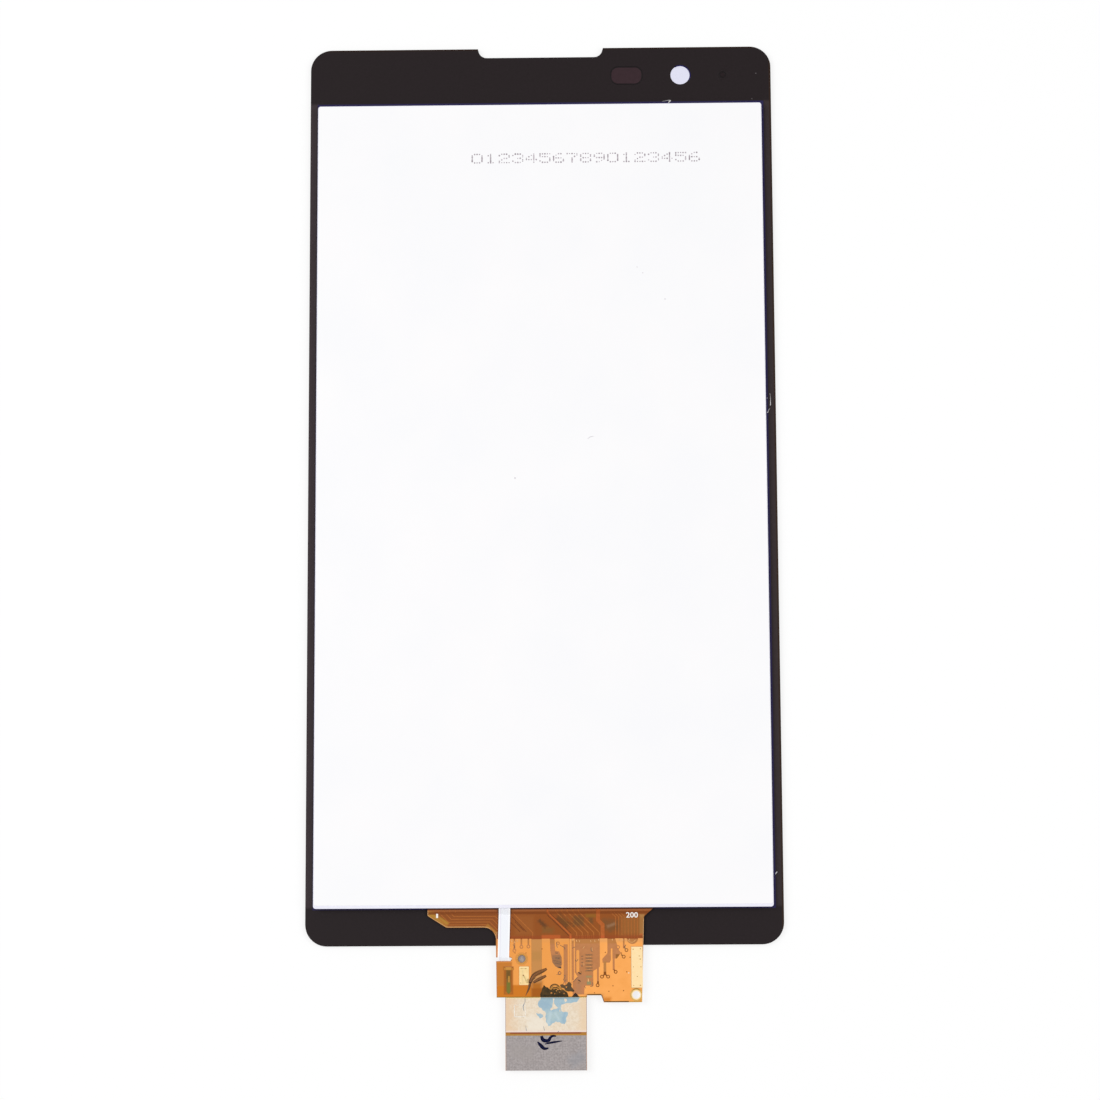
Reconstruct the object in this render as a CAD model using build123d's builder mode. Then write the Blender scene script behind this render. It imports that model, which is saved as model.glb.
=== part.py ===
from build123d import *
from math import cos, radians, sin, tan
import os

# Display assembly of a phone, lying on the front face of its cover glass.
# X runs across the glass, +Y points to the end with the speaker notch, +Z to the rear.
# The origin is the centre of the front face. All sizes are in millimetres.

os.makedirs("parts", exist_ok=True)

# Lit area of the display, with the border of the panel round it
active_width = 66.0
active_length = 117.4
active_side_border = 1.08
active_top_border = 1.0
active_chin_border = 1.63

# Cover glass, and how far it stands out round the display module
glass_thickness = 0.7
glass_corner_radius = 3.3
glass_edge_break = 0.12
module_top_margin = 9.5
module_chin_margin = 5.6
module_left_margin = 1.3
module_right_margin = 1.6

# Speaker notch in the top edge of the glass
notch_width = 19.6
notch_depth = 1.45
notch_wall_angle = 75.0
notch_floor_radius = 1.3
notch_mouth_radius = 0.25

# Windows in the black print, in one row above the display, placed from the right edge
window_row_drop = 4.5
camera_window_inset = 14.15
camera_window_diameter = 3.0
sensor_window_inset = 22.55
sensor_window_width = 4.95
sensor_window_height = 2.85
sensor_window_radius = 1.2
indicator_window_inset = 7.5
indicator_window_diameter = 0.95
print_gap = 0.02

# Liquid crystal panel
window_margin = 0.15
polariser_margin = 0.7
panel_ledge = 3.5
panel_chin_inset = 0.4

# Layer thicknesses, from the cover glass to the rear
ink_thickness = 0.03
adhesive_thickness = 0.15
polariser_thickness = 0.12
panel_glass_thickness = 0.2
rim_tape_thickness = 0.05
prism_film_thickness = 0.06
diffuser_thickness = 0.05
guide_thickness = 0.45
reflector_thickness = 0.08

# Moulded frame of the backlight
frame_wall = 0.35
frame_rail = 1.0
frame_chin_wall = 0.45
frame_corner_radius = 0.4
panel_clearance = 0.12
guide_clearance = 0.1
ear_length = 4.0
ear_depth = 0.35
film_ear_drop = 14.0
guide_ear_rise = 12.0
rim_tape_inset = 0.3
reflector_inset = 0.1
reflector_chin_inset = 0.45

# Light bar: the lamps, their pockets and the white flexible strip that feeds them
led_count = 10
led_length = 3.4
led_depth = 0.9
led_clearance = 0.06
led_guide_gap = 0.08
led_lens_length = 2.6
led_lens_height = 0.28
led_lens_depth = 0.3
led_lens_draft = 20.0
strip_thickness = 0.1
strip_overlap = 1.4
strip_film_gap = 0.15
strip_tail_width = 1.72
strip_tail_x = -5.95
strip_tail_tilt = 1.6
strip_tail_clearance = 0.25
strip_tail_bend = 0.3
strip_tail_overrun = 0.9

# Driver chip on the ledge of the panel
chip_length = 25.0
chip_depth = 1.0
chip_height = 0.2
chip_from_filter = 0.8

# Main flexible circuit: bonding edge, tongue and bend zone. Drops are counted down from the
# chin edge of the module.
flex_thickness = 0.12
flex_bond_overlap = 1.3
flex_bond_right_x = 17.2
tongue_left_x = -17.55
tongue_tip_drop = 1.12
tongue_tip_radius = 0.45
tongue_heel_x = -14.7
tongue_drop = 2.9
tongue_inner_radius = 1.75
flare_right_x = 16.5
flare_drop = 1.35
flare_radius = 0.5

# Board zone of the circuit. Drops are counted down from the top edge of the board.
board_drop = 4.6
board_left_x = -7.3
board_left_taper = 0.12
board_right_x = 14.95
board_right_taper = 0.37
board_length = 8.7
step_x = 6.35
step_rise = 0.27
foot_x = 8.5
foot_slant = 0.35
foot_length = 0.78
slit_drop = 2.75
slit_width = 0.55
slit_length = 2.35
peg_hole_diameter = 1.15
peg_hole_left_x = -3.41
peg_hole_left_drop = 2.97
peg_hole_right_x = 13.72
peg_hole_right_rise = 1.09

# Copper under the amber film, seen as a raised pattern
copper_thickness = 0.02
copper_edge_margin = 0.12
trace_width = 0.14
trace_pitch = 0.42
fine_trace_width = 0.1
fine_trace_pitch = 0.47
comb_length = 0.5
comb_pitch = 0.3
feed_trace_width = 0.6
feed_trace_x = 8.08
feed_trace_jog = 0.66
feed_jog_drop = 1.9
stripe_trace_width = 0.3
stripe_trace_x = 0.48
stripe_shift = 3.45
stripe_length = 6.5
via_pad_radius = 0.15
via_ring_width = 0.13
hook_width = 0.25
pad_gap = 0.05
shield_pad_x = 13.86
shield_pad_width = 1.7
shield_pad_drop = 1.25
shield_pad_ring_gap = 0.215
test_pad_x = -3.07
test_pad_width = 1.45
test_pad_length = 2.74
test_pad_drop = 4.11
ring_pad_width = 0.27
bus_gap_x = -1.17
bus_gap_width = 1.55
bus_gap_length = 5.4
slot_window_x = -5.38
slot_window_drop = 4.22
slot_window_width = 0.95
slot_window_length = 4.0
slot_window_point = 0.5
slot_bar_width = 0.3
slot_bar_overhang = 0.2
arc_gap_x = 13.2
arc_gap_radius = 0.85
strap_x = 5.0
strap_drop = 3.4
strap_length = 3.4
strap_width = 0.45
ladder_x = 6.66
ladder_drop = 2.44
ladder_width = 1.16
ladder_bar = 0.2
ladder_pitch = 0.48
ladder_count = 6

# Lower ply of the board with the tail, and what lies between the plies and on the tail
tail_flex_thickness = 0.12
liner_adhesive_thickness = 0.03
liner_thickness = 0.05
ply_inset = 0.08
ply_left_x = -4.4
ply_left_drop = 5.7
tail_x = 0.2
tail_width = 12.16
tail_length = 10.8
liner_top_drop = 4.45
liner_length = 5.15
liner_side_margin = 0.05
bond_liner_gap = 0.1
shield_gap = 0.5
shield_thickness = 0.1
hole_shield_width = 1.9
hole_shield_length = 2.4

# Board connector under the end of the tail
connector_from_end = 2.55
connector_length = 10.2
connector_width = 2.3
connector_height = 0.7
connector_wall = 0.45
connector_well_depth = 0.5
connector_edge_radius = 0.12
contact_count = 20
contact_pitch = 0.4
contact_width = 0.18
contact_thickness = 0.08
contact_foot = 0.45
contact_lap = 0.35
anchor_width = 1.3
anchor_thickness = 0.1
anchor_foot = 0.4

# Components soldered under the lower ply of the board
inductor_x = 1.8
inductor_drop = 2.85
inductor_width = 1.6
inductor_length = 2.2
inductor_height = 0.55
inductor_waist = 0.12
inductor_flange = 0.12
regulator_x = 5.2
regulator_drop = 3.65
regulator_width = 1.5
regulator_length = 2.7
regulator_height = 0.45
regulator_pin_count = 6
regulator_pin_pitch = 0.42
regulator_pin_width = 0.2
regulator_pin_reach = 0.35
regulator_pin_thickness = 0.1
capacitor_length = 1.0
capacitor_width = 0.5
capacitor_height = 0.5
capacitor_end = 0.22
capacitor_end_step = 0.02
capacitor_places = [(7.4, 6.2), (3.4, 5.8), (9.6, 6.8), (11.6, 3.6)]

# Heights of the layers
ink_z = glass_thickness
adhesive_z = ink_z + ink_thickness
front_polariser_z = adhesive_z + adhesive_thickness
filter_glass_z = front_polariser_z + polariser_thickness
tft_glass_z = filter_glass_z + panel_glass_thickness
rear_polariser_z = tft_glass_z + panel_glass_thickness
rim_tape_z = rear_polariser_z + polariser_thickness
upper_prism_z = rim_tape_z + rim_tape_thickness
lower_prism_z = upper_prism_z + prism_film_thickness
diffuser_z = lower_prism_z + prism_film_thickness
guide_z = diffuser_z + diffuser_thickness
reflector_z = guide_z + guide_thickness
strip_z = guide_z - strip_thickness
copper_z = tft_glass_z
flex_z = copper_z - flex_thickness
bond_thickness = liner_adhesive_thickness + liner_thickness
bond_z = flex_z - bond_thickness
tail_z = bond_z - tail_flex_thickness

# Outline of the panel, of the module round it and of the glass round that
panel_width = active_width + 2 * active_side_border
filter_length = active_top_border + active_length + active_chin_border
panel_length = filter_length + panel_ledge
module_wall = frame_wall + panel_clearance
module_width = panel_width + 2 * module_wall
module_length = panel_length + module_wall + panel_chin_inset
glass_width = module_width + module_left_margin + module_right_margin
glass_length = module_length + module_top_margin + module_chin_margin

# Places across and along the glass
glass_right = glass_width / 2
glass_top = glass_length / 2
camera_window_x = glass_right - camera_window_inset
sensor_window_x = glass_right - sensor_window_inset
indicator_window_x = glass_right - indicator_window_inset
window_row_y = glass_top - window_row_drop
module_x = (module_left_margin - module_right_margin) / 2
module_top = glass_top - module_top_margin
module_bottom = module_top - module_length
module_y = (module_top + module_bottom) / 2
panel_top = module_top - module_wall
panel_bottom = panel_top - panel_length
filter_bottom = panel_top - filter_length
active_y = panel_top - active_top_border - active_length / 2
polariser_width = active_width + 2 * polariser_margin
polariser_length = active_length + 2 * polariser_margin
guide_width = module_width - 2 * (frame_rail + guide_clearance)
guide_top = module_top - frame_rail - guide_clearance
lamp_row_y = module_bottom + frame_chin_wall + led_clearance + led_depth / 2
guide_bottom = lamp_row_y + led_depth / 2 + led_guide_gap
strip_top = guide_bottom + strip_overlap
film_bottom = strip_top + strip_film_gap
led_pitch = guide_width / led_count
led_height = guide_thickness - led_clearance / 2
film_ear_y = guide_top - film_ear_drop
guide_ear_y = guide_bottom + guide_ear_rise
board_top = module_bottom - board_drop
board_bottom = board_top - board_length
slit_middle_drop = slit_drop + slit_width / 2
foot_drop = board_length + foot_length
peg_hole_right_drop = foot_drop - peg_hole_right_rise
peg_ring_radius = peg_hole_diameter / 2 + ring_pad_width
shield_pad_end = peg_hole_right_drop - peg_ring_radius - shield_pad_ring_gap
shield_pad_length = shield_pad_end - shield_pad_drop
ear_recess_depth = ear_depth + guide_clearance
ear_recess_length = ear_length + 2 * guide_clearance


# Cover glass: a rounded plate with the speaker notch, its front edge broken all round
with BuildPart() as cover_glass:
    with BuildSketch() as glass_outline:
        RectangleRounded(glass_width, glass_length, glass_corner_radius)
        notch_floor_width = notch_width - 2 * notch_depth / tan(radians(notch_wall_angle))
        with BuildLine():
            Polyline(
                (-notch_width / 2, glass_top),
                (notch_width / 2, glass_top),
                (notch_floor_width / 2, glass_top - notch_depth),
                (-notch_floor_width / 2, glass_top - notch_depth),
                close=True,
            )
        make_face(mode=Mode.SUBTRACT)
        notch_corners = vertices().filter_by_position(Axis.X, -notch_width / 2, notch_width / 2)
        floor_corners = notch_corners.filter_by_position(
            Axis.Y, glass_top - notch_depth * 1.1, glass_top - notch_depth * 0.9
        )
        mouth_corners = notch_corners.filter_by_position(
            Axis.Y, glass_top - notch_depth * 0.1, glass_top + notch_depth * 0.1
        )
        fillet(floor_corners, notch_floor_radius)
        fillet(mouth_corners, notch_mouth_radius)
    extrude(amount=glass_thickness)
    chamfer(faces().sort_by(Axis.Z)[0].edges(), glass_edge_break)
cover_glass.part.label = "cover_glass"
export_step(cover_glass.part, "parts/cover_glass.step")

# Black border print on the rear of the glass, open at the display and at three windows
with BuildPart() as border_ink:
    with BuildSketch(Plane.XY.offset(ink_z)):
        add(glass_outline.sketch)
        with Locations((module_x, active_y)):
            Rectangle(
                active_width + 2 * window_margin,
                active_length + 2 * window_margin,
                mode=Mode.SUBTRACT,
            )
        with Locations((camera_window_x, window_row_y)):
            Circle(camera_window_diameter / 2, mode=Mode.SUBTRACT)
        with Locations((indicator_window_x, window_row_y)):
            Circle(indicator_window_diameter / 2, mode=Mode.SUBTRACT)
        with Locations((sensor_window_x, window_row_y)):
            RectangleRounded(
                sensor_window_width, sensor_window_height, sensor_window_radius, mode=Mode.SUBTRACT
            )
    extrude(amount=ink_thickness)
border_ink.part.label = "border_ink"
export_step(border_ink.part, "parts/border_ink.step")

# Dark violet ink that fills the window of the distance sensor
with BuildPart() as sensor_window_ink:
    with BuildSketch(Plane.XY.offset(ink_z)):
        with Locations((sensor_window_x, window_row_y)):
            RectangleRounded(
                sensor_window_width - 2 * print_gap,
                sensor_window_height - 2 * print_gap,
                sensor_window_radius - print_gap,
            )
    extrude(amount=ink_thickness)
sensor_window_ink.part.label = "sensor_window_ink"
export_step(sensor_window_ink.part, "parts/sensor_window_ink.step")

# Dark ink dot over the indicator lamp
with BuildPart() as indicator_window_ink:
    with BuildSketch(Plane.XY.offset(ink_z)):
        with Locations((indicator_window_x, window_row_y)):
            Circle(indicator_window_diameter / 2 - print_gap)
    extrude(amount=ink_thickness)
indicator_window_ink.part.label = "indicator_window_ink"
export_step(indicator_window_ink.part, "parts/indicator_window_ink.step")

# Clear adhesive that bonds the panel to the glass and fills the step of the print
with BuildPart() as optical_adhesive:
    with BuildSketch(Plane.XY.offset(adhesive_z)):
        with Locations((module_x, active_y)):
            Rectangle(polariser_width, polariser_length)
    extrude(amount=adhesive_thickness)
    with BuildSketch(Plane.XY.offset(ink_z)):
        with Locations((module_x, active_y)):
            Rectangle(
                active_width + 2 * (window_margin - print_gap),
                active_length + 2 * (window_margin - print_gap),
            )
    extrude(amount=ink_thickness)
optical_adhesive.part.label = "optical_adhesive"
export_step(optical_adhesive.part, "parts/optical_adhesive.step")

# Polarisers on both sides of the panel
with BuildPart() as front_polariser:
    with BuildSketch(Plane.XY.offset(front_polariser_z)):
        with Locations((module_x, active_y)):
            Rectangle(polariser_width, polariser_length)
    extrude(amount=polariser_thickness)
front_polariser.part.label = "front_polariser"
export_step(front_polariser.part, "parts/front_polariser.step")

with BuildPart() as rear_polariser:
    with BuildSketch(Plane.XY.offset(rear_polariser_z)):
        with Locations((module_x, active_y)):
            Rectangle(polariser_width, polariser_length)
    extrude(amount=polariser_thickness)
rear_polariser.part.label = "rear_polariser"
export_step(rear_polariser.part, "parts/rear_polariser.step")

# The two glasses of the panel. The rear one runs on at the chin as a ledge for chip and circuit.
with BuildPart() as colour_filter_glass:
    with BuildSketch(Plane.XY.offset(filter_glass_z)):
        with Locations((module_x, (panel_top + filter_bottom) / 2)):
            Rectangle(panel_width, filter_length)
    extrude(amount=panel_glass_thickness)
colour_filter_glass.part.label = "colour_filter_glass"
export_step(colour_filter_glass.part, "parts/colour_filter_glass.step")

with BuildPart() as tft_glass:
    with BuildSketch(Plane.XY.offset(tft_glass_z)):
        with Locations((module_x, (panel_top + panel_bottom) / 2)):
            Rectangle(panel_width, panel_length)
    extrude(amount=panel_glass_thickness)
tft_glass.part.label = "tft_glass"
export_step(tft_glass.part, "parts/tft_glass.step")

# Bare driver chip on the front face of the ledge
with BuildPart() as driver_chip:
    with BuildSketch(Plane.XY.offset(tft_glass_z)):
        with Locations((module_x, filter_bottom - chip_from_filter - chip_depth / 2)):
            Rectangle(chip_length, chip_depth)
    extrude(amount=-chip_height)
driver_chip.part.label = "driver_chip"
export_step(driver_chip.part, "parts/driver_chip.step")

# Black tape round the panel, which holds it to the frame and hides the light at the edge
with BuildPart() as rim_tape:
    with BuildSketch(Plane.XY.offset(rim_tape_z)):
        with Locations((module_x, active_y)):
            Rectangle(polariser_width, polariser_length)
            Rectangle(
                active_width + 2 * rim_tape_inset,
                active_length + 2 * rim_tape_inset,
                mode=Mode.SUBTRACT,
            )
    extrude(amount=rim_tape_thickness)
rim_tape.part.label = "rim_tape"
export_step(rim_tape.part, "parts/rim_tape.step")

# Moulded white frame. Thin walls stand round the panel on three sides, a rail carries the films
# and the light guide, and the chin bar has one pocket for each lamp.
with BuildPart() as backlight_frame:
    with BuildSketch(Plane.XY.offset(filter_glass_z)):
        with Locations((module_x, module_y)):
            RectangleRounded(module_width, module_length, frame_corner_radius)
    extrude(amount=reflector_z - filter_glass_z)
    # Pocket for the panel, open towards the chin
    with BuildSketch(Plane.XY.offset(filter_glass_z)):
        pocket_top = panel_top + panel_clearance
        with Locations((module_x, (pocket_top + module_bottom - 1) / 2)):
            Rectangle(panel_width + 2 * panel_clearance, pocket_top - module_bottom + 1)
    extrude(amount=upper_prism_z - filter_glass_z, mode=Mode.SUBTRACT)
    # Opening for the films and the light guide, with recesses for their ears
    with BuildSketch(Plane.XY.offset(upper_prism_z)):
        opening_top = guide_top + guide_clearance
        with Locations((module_x, (opening_top + guide_bottom) / 2)):
            Rectangle(guide_width + 2 * guide_clearance, opening_top - guide_bottom)
        with Locations((module_x, film_ear_y), (module_x, guide_ear_y)):
            Rectangle(
                guide_width + 2 * (guide_clearance + ear_recess_depth), ear_recess_length
            )
    extrude(amount=reflector_z - upper_prism_z, mode=Mode.SUBTRACT)
    # Seat of the lamp strip on the panel side of the chin bar
    with BuildSketch(Plane.XY.offset(upper_prism_z)):
        seat_bottom = module_bottom + frame_chin_wall
        with Locations((module_x, (guide_bottom + seat_bottom) / 2)):
            Rectangle(guide_width + 2 * guide_clearance, guide_bottom - seat_bottom)
        with Locations((strip_tail_x, seat_bottom)):
            Rectangle(strip_tail_width + 2 * strip_tail_clearance, 4 * frame_chin_wall)
    extrude(amount=guide_z - upper_prism_z, mode=Mode.SUBTRACT)
    # Lamp pockets, open towards the light guide
    with BuildSketch(Plane.XY.offset(guide_z)):
        with Locations((module_x, (guide_bottom + seat_bottom) / 2)):
            with GridLocations(led_pitch, 1, led_count, 1):
                Rectangle(led_length + 2 * led_clearance, guide_bottom - seat_bottom)
    extrude(amount=guide_thickness, mode=Mode.SUBTRACT)
backlight_frame.part.label = "backlight_frame"
export_step(backlight_frame.part, "parts/backlight_frame.step")

# Films in the frame. Each has one ear on either side that drops into a recess.
film_stack = [
    ("upper_prism_film", upper_prism_z, prism_film_thickness),
    ("lower_prism_film", lower_prism_z, prism_film_thickness),
    ("diffuser_film", diffuser_z, diffuser_thickness),
]
for film_name, film_z, film_thickness in film_stack:
    with BuildPart() as film:
        with BuildSketch(Plane.XY.offset(film_z)):
            with Locations((module_x, (guide_top + film_bottom) / 2)):
                Rectangle(guide_width, guide_top - film_bottom)
            with Locations((module_x, film_ear_y)):
                Rectangle(guide_width + 2 * ear_depth, ear_length)
        extrude(amount=film_thickness)
    film.part.label = film_name
    export_step(film.part, f"parts/{film_name}.step")

# Light guide plate, with its own pair of ears near the lamps
with BuildPart() as light_guide:
    with BuildSketch(Plane.XY.offset(guide_z)):
        with Locations((module_x, (guide_top + guide_bottom) / 2)):
            Rectangle(guide_width, guide_top - guide_bottom)
        with Locations((module_x, guide_ear_y)):
            Rectangle(guide_width + 2 * ear_depth, ear_length)
    extrude(amount=guide_thickness)
light_guide.part.label = "light_guide"
export_step(light_guide.part, "parts/light_guide.step")

# White reflector film over the rear of frame and light guide
with BuildPart() as reflector_film:
    reflector_top = module_top - reflector_inset
    reflector_bottom = module_bottom + reflector_chin_inset
    with BuildSketch(Plane.XY.offset(reflector_z)):
        with Locations((module_x, (reflector_top + reflector_bottom) / 2)):
            RectangleRounded(
                module_width - 2 * reflector_inset,
                reflector_top - reflector_bottom,
                frame_corner_radius - reflector_inset,
            )
    extrude(amount=reflector_thickness)
reflector_film.part.label = "reflector_film"
export_step(reflector_film.part, "parts/reflector_film.step")

# Side-firing lamps, each with a flared light opening towards the guide
for led_index in range(led_count):
    led_x = module_x + (led_index - (led_count - 1) / 2) * led_pitch
    lens_plane = Plane(
        origin=(led_x, lamp_row_y + led_depth / 2, guide_z + led_height / 2),
        x_dir=(1, 0, 0),
        z_dir=(0, -1, 0),
    )
    with BuildPart() as led:
        with BuildSketch(Plane.XY.offset(guide_z)):
            with Locations((led_x, lamp_row_y)):
                Rectangle(led_length, led_depth)
        extrude(amount=led_height)
        with BuildSketch(lens_plane):
            Rectangle(led_lens_length, led_lens_height)
        extrude(amount=led_lens_depth, taper=led_lens_draft, mode=Mode.SUBTRACT)
    led_name = f"led_{led_index + 1:02d}"
    led.part.label = led_name
    export_step(led.part, f"parts/{led_name}.step")

# Lamp strip: a straight bar under the lamps and a tail that comes out at the chin, drops onto
# the main circuit, lies along it and dives through its slit to the solder pads below
strip_tail_run = Vector(-sin(radians(strip_tail_tilt)), -cos(radians(strip_tail_tilt)), 0)
strip_tail_plane = Plane(
    origin=(strip_tail_x, module_bottom, 0),
    x_dir=strip_tail_run,
    z_dir=strip_tail_run.cross(Vector(0, 0, 1)),
)
tail_over_z = copper_z + copper_thickness + strip_thickness / 2
tail_under_z = flex_z - strip_thickness / 2
slit_reach = board_drop + slit_drop
with BuildPart() as led_flex:
    with BuildSketch(Plane.XY.offset(strip_z)):
        with Locations((module_x, (strip_top + seat_bottom + led_clearance) / 2)):
            Rectangle(guide_width, strip_top - seat_bottom - led_clearance)
    extrude(amount=strip_thickness)
    with BuildSketch(strip_tail_plane):
        with BuildLine():
            FilletPolyline(
                (-frame_chin_wall - led_depth, strip_z + strip_thickness / 2),
                (2 * strip_thickness, strip_z + strip_thickness / 2),
                (2 * strip_thickness + 2 * (strip_z - tail_over_z), tail_over_z),
                (slit_reach, tail_over_z),
                (slit_reach + slit_width, tail_under_z),
                (slit_reach + slit_width + strip_tail_overrun, tail_under_z),
                radius=strip_tail_bend / 2,
            )
        trace(line_width=strip_thickness)
    extrude(amount=strip_tail_width / 2, both=True)
led_flex.part.label = "led_flex"
export_step(led_flex.part, "parts/led_flex.step")

# Main flexible circuit: a bonding edge under the ledge of the panel, a tongue to the left, a
# bend zone over the glass edge, and the wider board below it with slit and peg holes
board_left_foot_x = board_left_x + board_left_taper
board_right_foot_x = board_right_x - board_right_taper
bond_edge = board_drop + panel_chin_inset + flex_bond_overlap
peg_holes = [
    (peg_hole_left_x, -peg_hole_left_drop),
    (peg_hole_right_x, -peg_hole_right_drop),
]
with BuildPart() as main_flex:
    with BuildSketch(Plane(origin=(0, board_top, flex_z))):
        with BuildLine():
            Polyline(
                (tongue_left_x, bond_edge),
                (tongue_left_x, board_drop - tongue_tip_drop),
                (tongue_heel_x, board_drop - tongue_drop),
                (board_left_x, board_drop - tongue_drop),
                (board_left_foot_x, -board_length),
                (step_x, -board_length),
                (step_x, -board_length + step_rise),
                (foot_x, -board_length + step_rise),
                (foot_x + foot_slant, -foot_drop),
                (board_right_foot_x, -foot_drop),
                (board_right_x, board_drop - flare_drop),
                (flare_right_x, board_drop),
                (flex_bond_right_x, board_drop + panel_chin_inset),
                (flex_bond_right_x, bond_edge),
                close=True,
            )
        make_face()
        corners = vertices()
        tongue_tip = corners.sort_by_distance((tongue_left_x, board_drop - tongue_tip_drop))[0]
        tongue_heel = corners.sort_by_distance((tongue_heel_x, board_drop - tongue_drop))[0]
        fillet([tongue_tip, tongue_heel], tongue_tip_radius)
        inner_corner = vertices().sort_by_distance((board_left_x, board_drop - tongue_drop))[0]
        fillet(inner_corner, tongue_inner_radius)
        flare_corner = vertices().sort_by_distance((board_right_x, board_drop - flare_drop))[0]
        fillet(flare_corner, flare_radius)
        with Locations((board_left_x, -slit_middle_drop)):
            SlotOverall(2 * slit_length, slit_width, mode=Mode.SUBTRACT)
        with Locations(peg_holes):
            Circle(peg_hole_diameter / 2, mode=Mode.SUBTRACT)
    extrude(amount=flex_thickness)
main_flex.part.label = "main_flex"
export_step(main_flex.part, "parts/main_flex.step")


def board_left_at(drop):
    """Left edge of the board at a drop below its top edge."""
    slope = board_left_taper / (board_length + board_drop - tongue_drop)
    return board_left_x + slope * (drop + board_drop - tongue_drop)


def board_right_at(drop):
    """Right edge of the board at a drop below its top edge."""
    slope = board_right_taper / (foot_drop + board_drop - flare_drop)
    return board_right_x - slope * (drop + board_drop - flare_drop)


def board_corners(inset):
    """Corners of the board's outline below the bend zone, moved inwards by one inset."""
    return [
        (board_left_at(0) + inset, 0),
        (board_left_at(board_length) + inset, inset - board_length),
        (step_x - inset, inset - board_length),
        (step_x - inset, inset + step_rise - board_length),
        (foot_x + inset, inset + step_rise - board_length),
        (foot_x + foot_slant + inset, inset - foot_drop),
        (board_right_at(foot_drop) - inset, inset - foot_drop),
        (board_right_at(0) - inset, 0),
    ]


# Signal lines of the bend zone, with the film over them: a fan in the tongue, slanting lines
# that run on to the board, one wide feed with a jog, upright lines at the right, and a comb
copper_plane = Plane(origin=(0, board_top, copper_z))
line_top = board_drop + panel_chin_inset - trace_width
tongue_line_count = 5
slant_line_starts = [-4.84, 1.75, 2.6, 3.45, 4.3, 5.15]
slant_start_drop = 0.6
slant_end_drop = 3.7
upright_line_count = 8
upright_line_x = 10.7
upright_line_top = 1.4
upright_fan_count = 4
comb_starts = [-4.7, 4.7]
comb_counts = [9, 9]
with BuildPart() as bend_traces:
    with BuildSketch(copper_plane):
        for line_index in range(tongue_line_count):
            line_offset = (line_index + 1) * trace_pitch
            line_y = board_drop - tongue_drop + line_offset
            line_x = tongue_left_x + 2 * line_offset
            elbow_x = board_left_x + line_offset
            elbow = tongue_inner_radius
            with BuildLine():
                Polyline(
                    (line_x, line_top),
                    (line_x, board_drop - slant_start_drop),
                    (line_x + board_drop - slant_start_drop - line_y, line_y),
                    (elbow_x - elbow, line_y),
                    (elbow_x, line_y - elbow),
                    (elbow_x, 0),
                )
            trace(line_width=fine_trace_width)
        for line_x in slant_line_starts:
            with BuildLine():
                Polyline(
                    (line_x, line_top),
                    (line_x, board_drop - slant_start_drop),
                    (line_x + slant_end_drop - slant_start_drop, board_drop - slant_end_drop),
                    (line_x + slant_end_drop - slant_start_drop, 0),
                )
            trace(line_width=trace_width)
        for line_index in range(upright_line_count):
            line_x = upright_line_x + line_index * fine_trace_pitch
            with BuildLine():
                Polyline((line_x, board_drop - upright_line_top), (line_x, 0))
            trace(line_width=fine_trace_width)
        for line_index in range(upright_fan_count):
            line_x = upright_line_x + line_index * fine_trace_pitch
            with BuildLine():
                Polyline(
                    (line_x - upright_line_top / 2, board_drop - upright_line_top / 2),
                    (line_x, board_drop - upright_line_top),
                )
            trace(line_width=fine_trace_width)
        for comb_start, comb_count in zip(comb_starts, comb_counts):
            for line_index in range(comb_count):
                with Locations((comb_start + line_index * comb_pitch, comb_length / 2)):
                    Rectangle(fine_trace_width, comb_length)
    extrude(amount=copper_thickness)
bend_traces.part.label = "bend_traces"
export_step(bend_traces.part, "parts/bend_traces.step")

# Two wide conductors of the bend zone: the feed with its jog, and the stripe that runs on down
# the board between two gaps of the ground copper
with BuildPart() as feed_traces:
    with BuildSketch(copper_plane):
        with BuildLine():
            Polyline(
                (feed_trace_x, line_top),
                (feed_trace_x, board_drop - feed_jog_drop),
                (feed_trace_x + feed_trace_jog, board_drop - feed_jog_drop - feed_trace_jog),
                (feed_trace_x + feed_trace_jog, pad_gap),
            )
        trace(line_width=feed_trace_width)
        with BuildLine():
            Polyline(
                (stripe_trace_x, line_top),
                (stripe_trace_x, board_drop - slant_start_drop),
                (stripe_trace_x + stripe_shift, board_drop - slant_start_drop - stripe_shift),
                (stripe_trace_x + stripe_shift, -stripe_length),
            )
        trace(line_width=stripe_trace_width)
    extrude(amount=copper_thickness)
feed_traces.part.label = "feed_traces"
export_step(feed_traces.part, "parts/feed_traces.step")

# Ground copper of the board, with the gaps where signals pass, the clear rings round its vias
# and the openings for the holes and the plated pads
bulb_gap = [
    (0.82, 0),
    (1.52, 0),
    (1.6, -1.8),
    (2.2, -1.9),
    (2.57, -2.75),
    (2.64, -3.75),
    (2.4, -4.4),
    (1.66, -4.15),
    (1.19, -3.55),
    (0.9, -1.8),
]
signal_area = [
    (4.55, 0),
    (8.3, 0),
    (8.3, -4.2),
    (7.3, -4.85),
    (7.3, -7.0),
    (6.0, -7.0),
    (5.9, -8.3),
    (4.2, -8.3),
    (4.2, -6.4),
    (5.0, -5.7),
    (4.55, -5.0),
]
right_area = [
    (9.45, 0),
    (10.6, 0),
    (11.15, -1.7),
    (11.46, -2.15),
    (10.85, -3.0),
    (10.2, -3.0),
    (10.2, -1.5),
    (9.95, -1.5),
    (9.95, -3.2),
    (9.78, -3.6),
    (8.72, -3.6),
    (8.66, -3.05),
    (9.45, -2.2),
]
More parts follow.
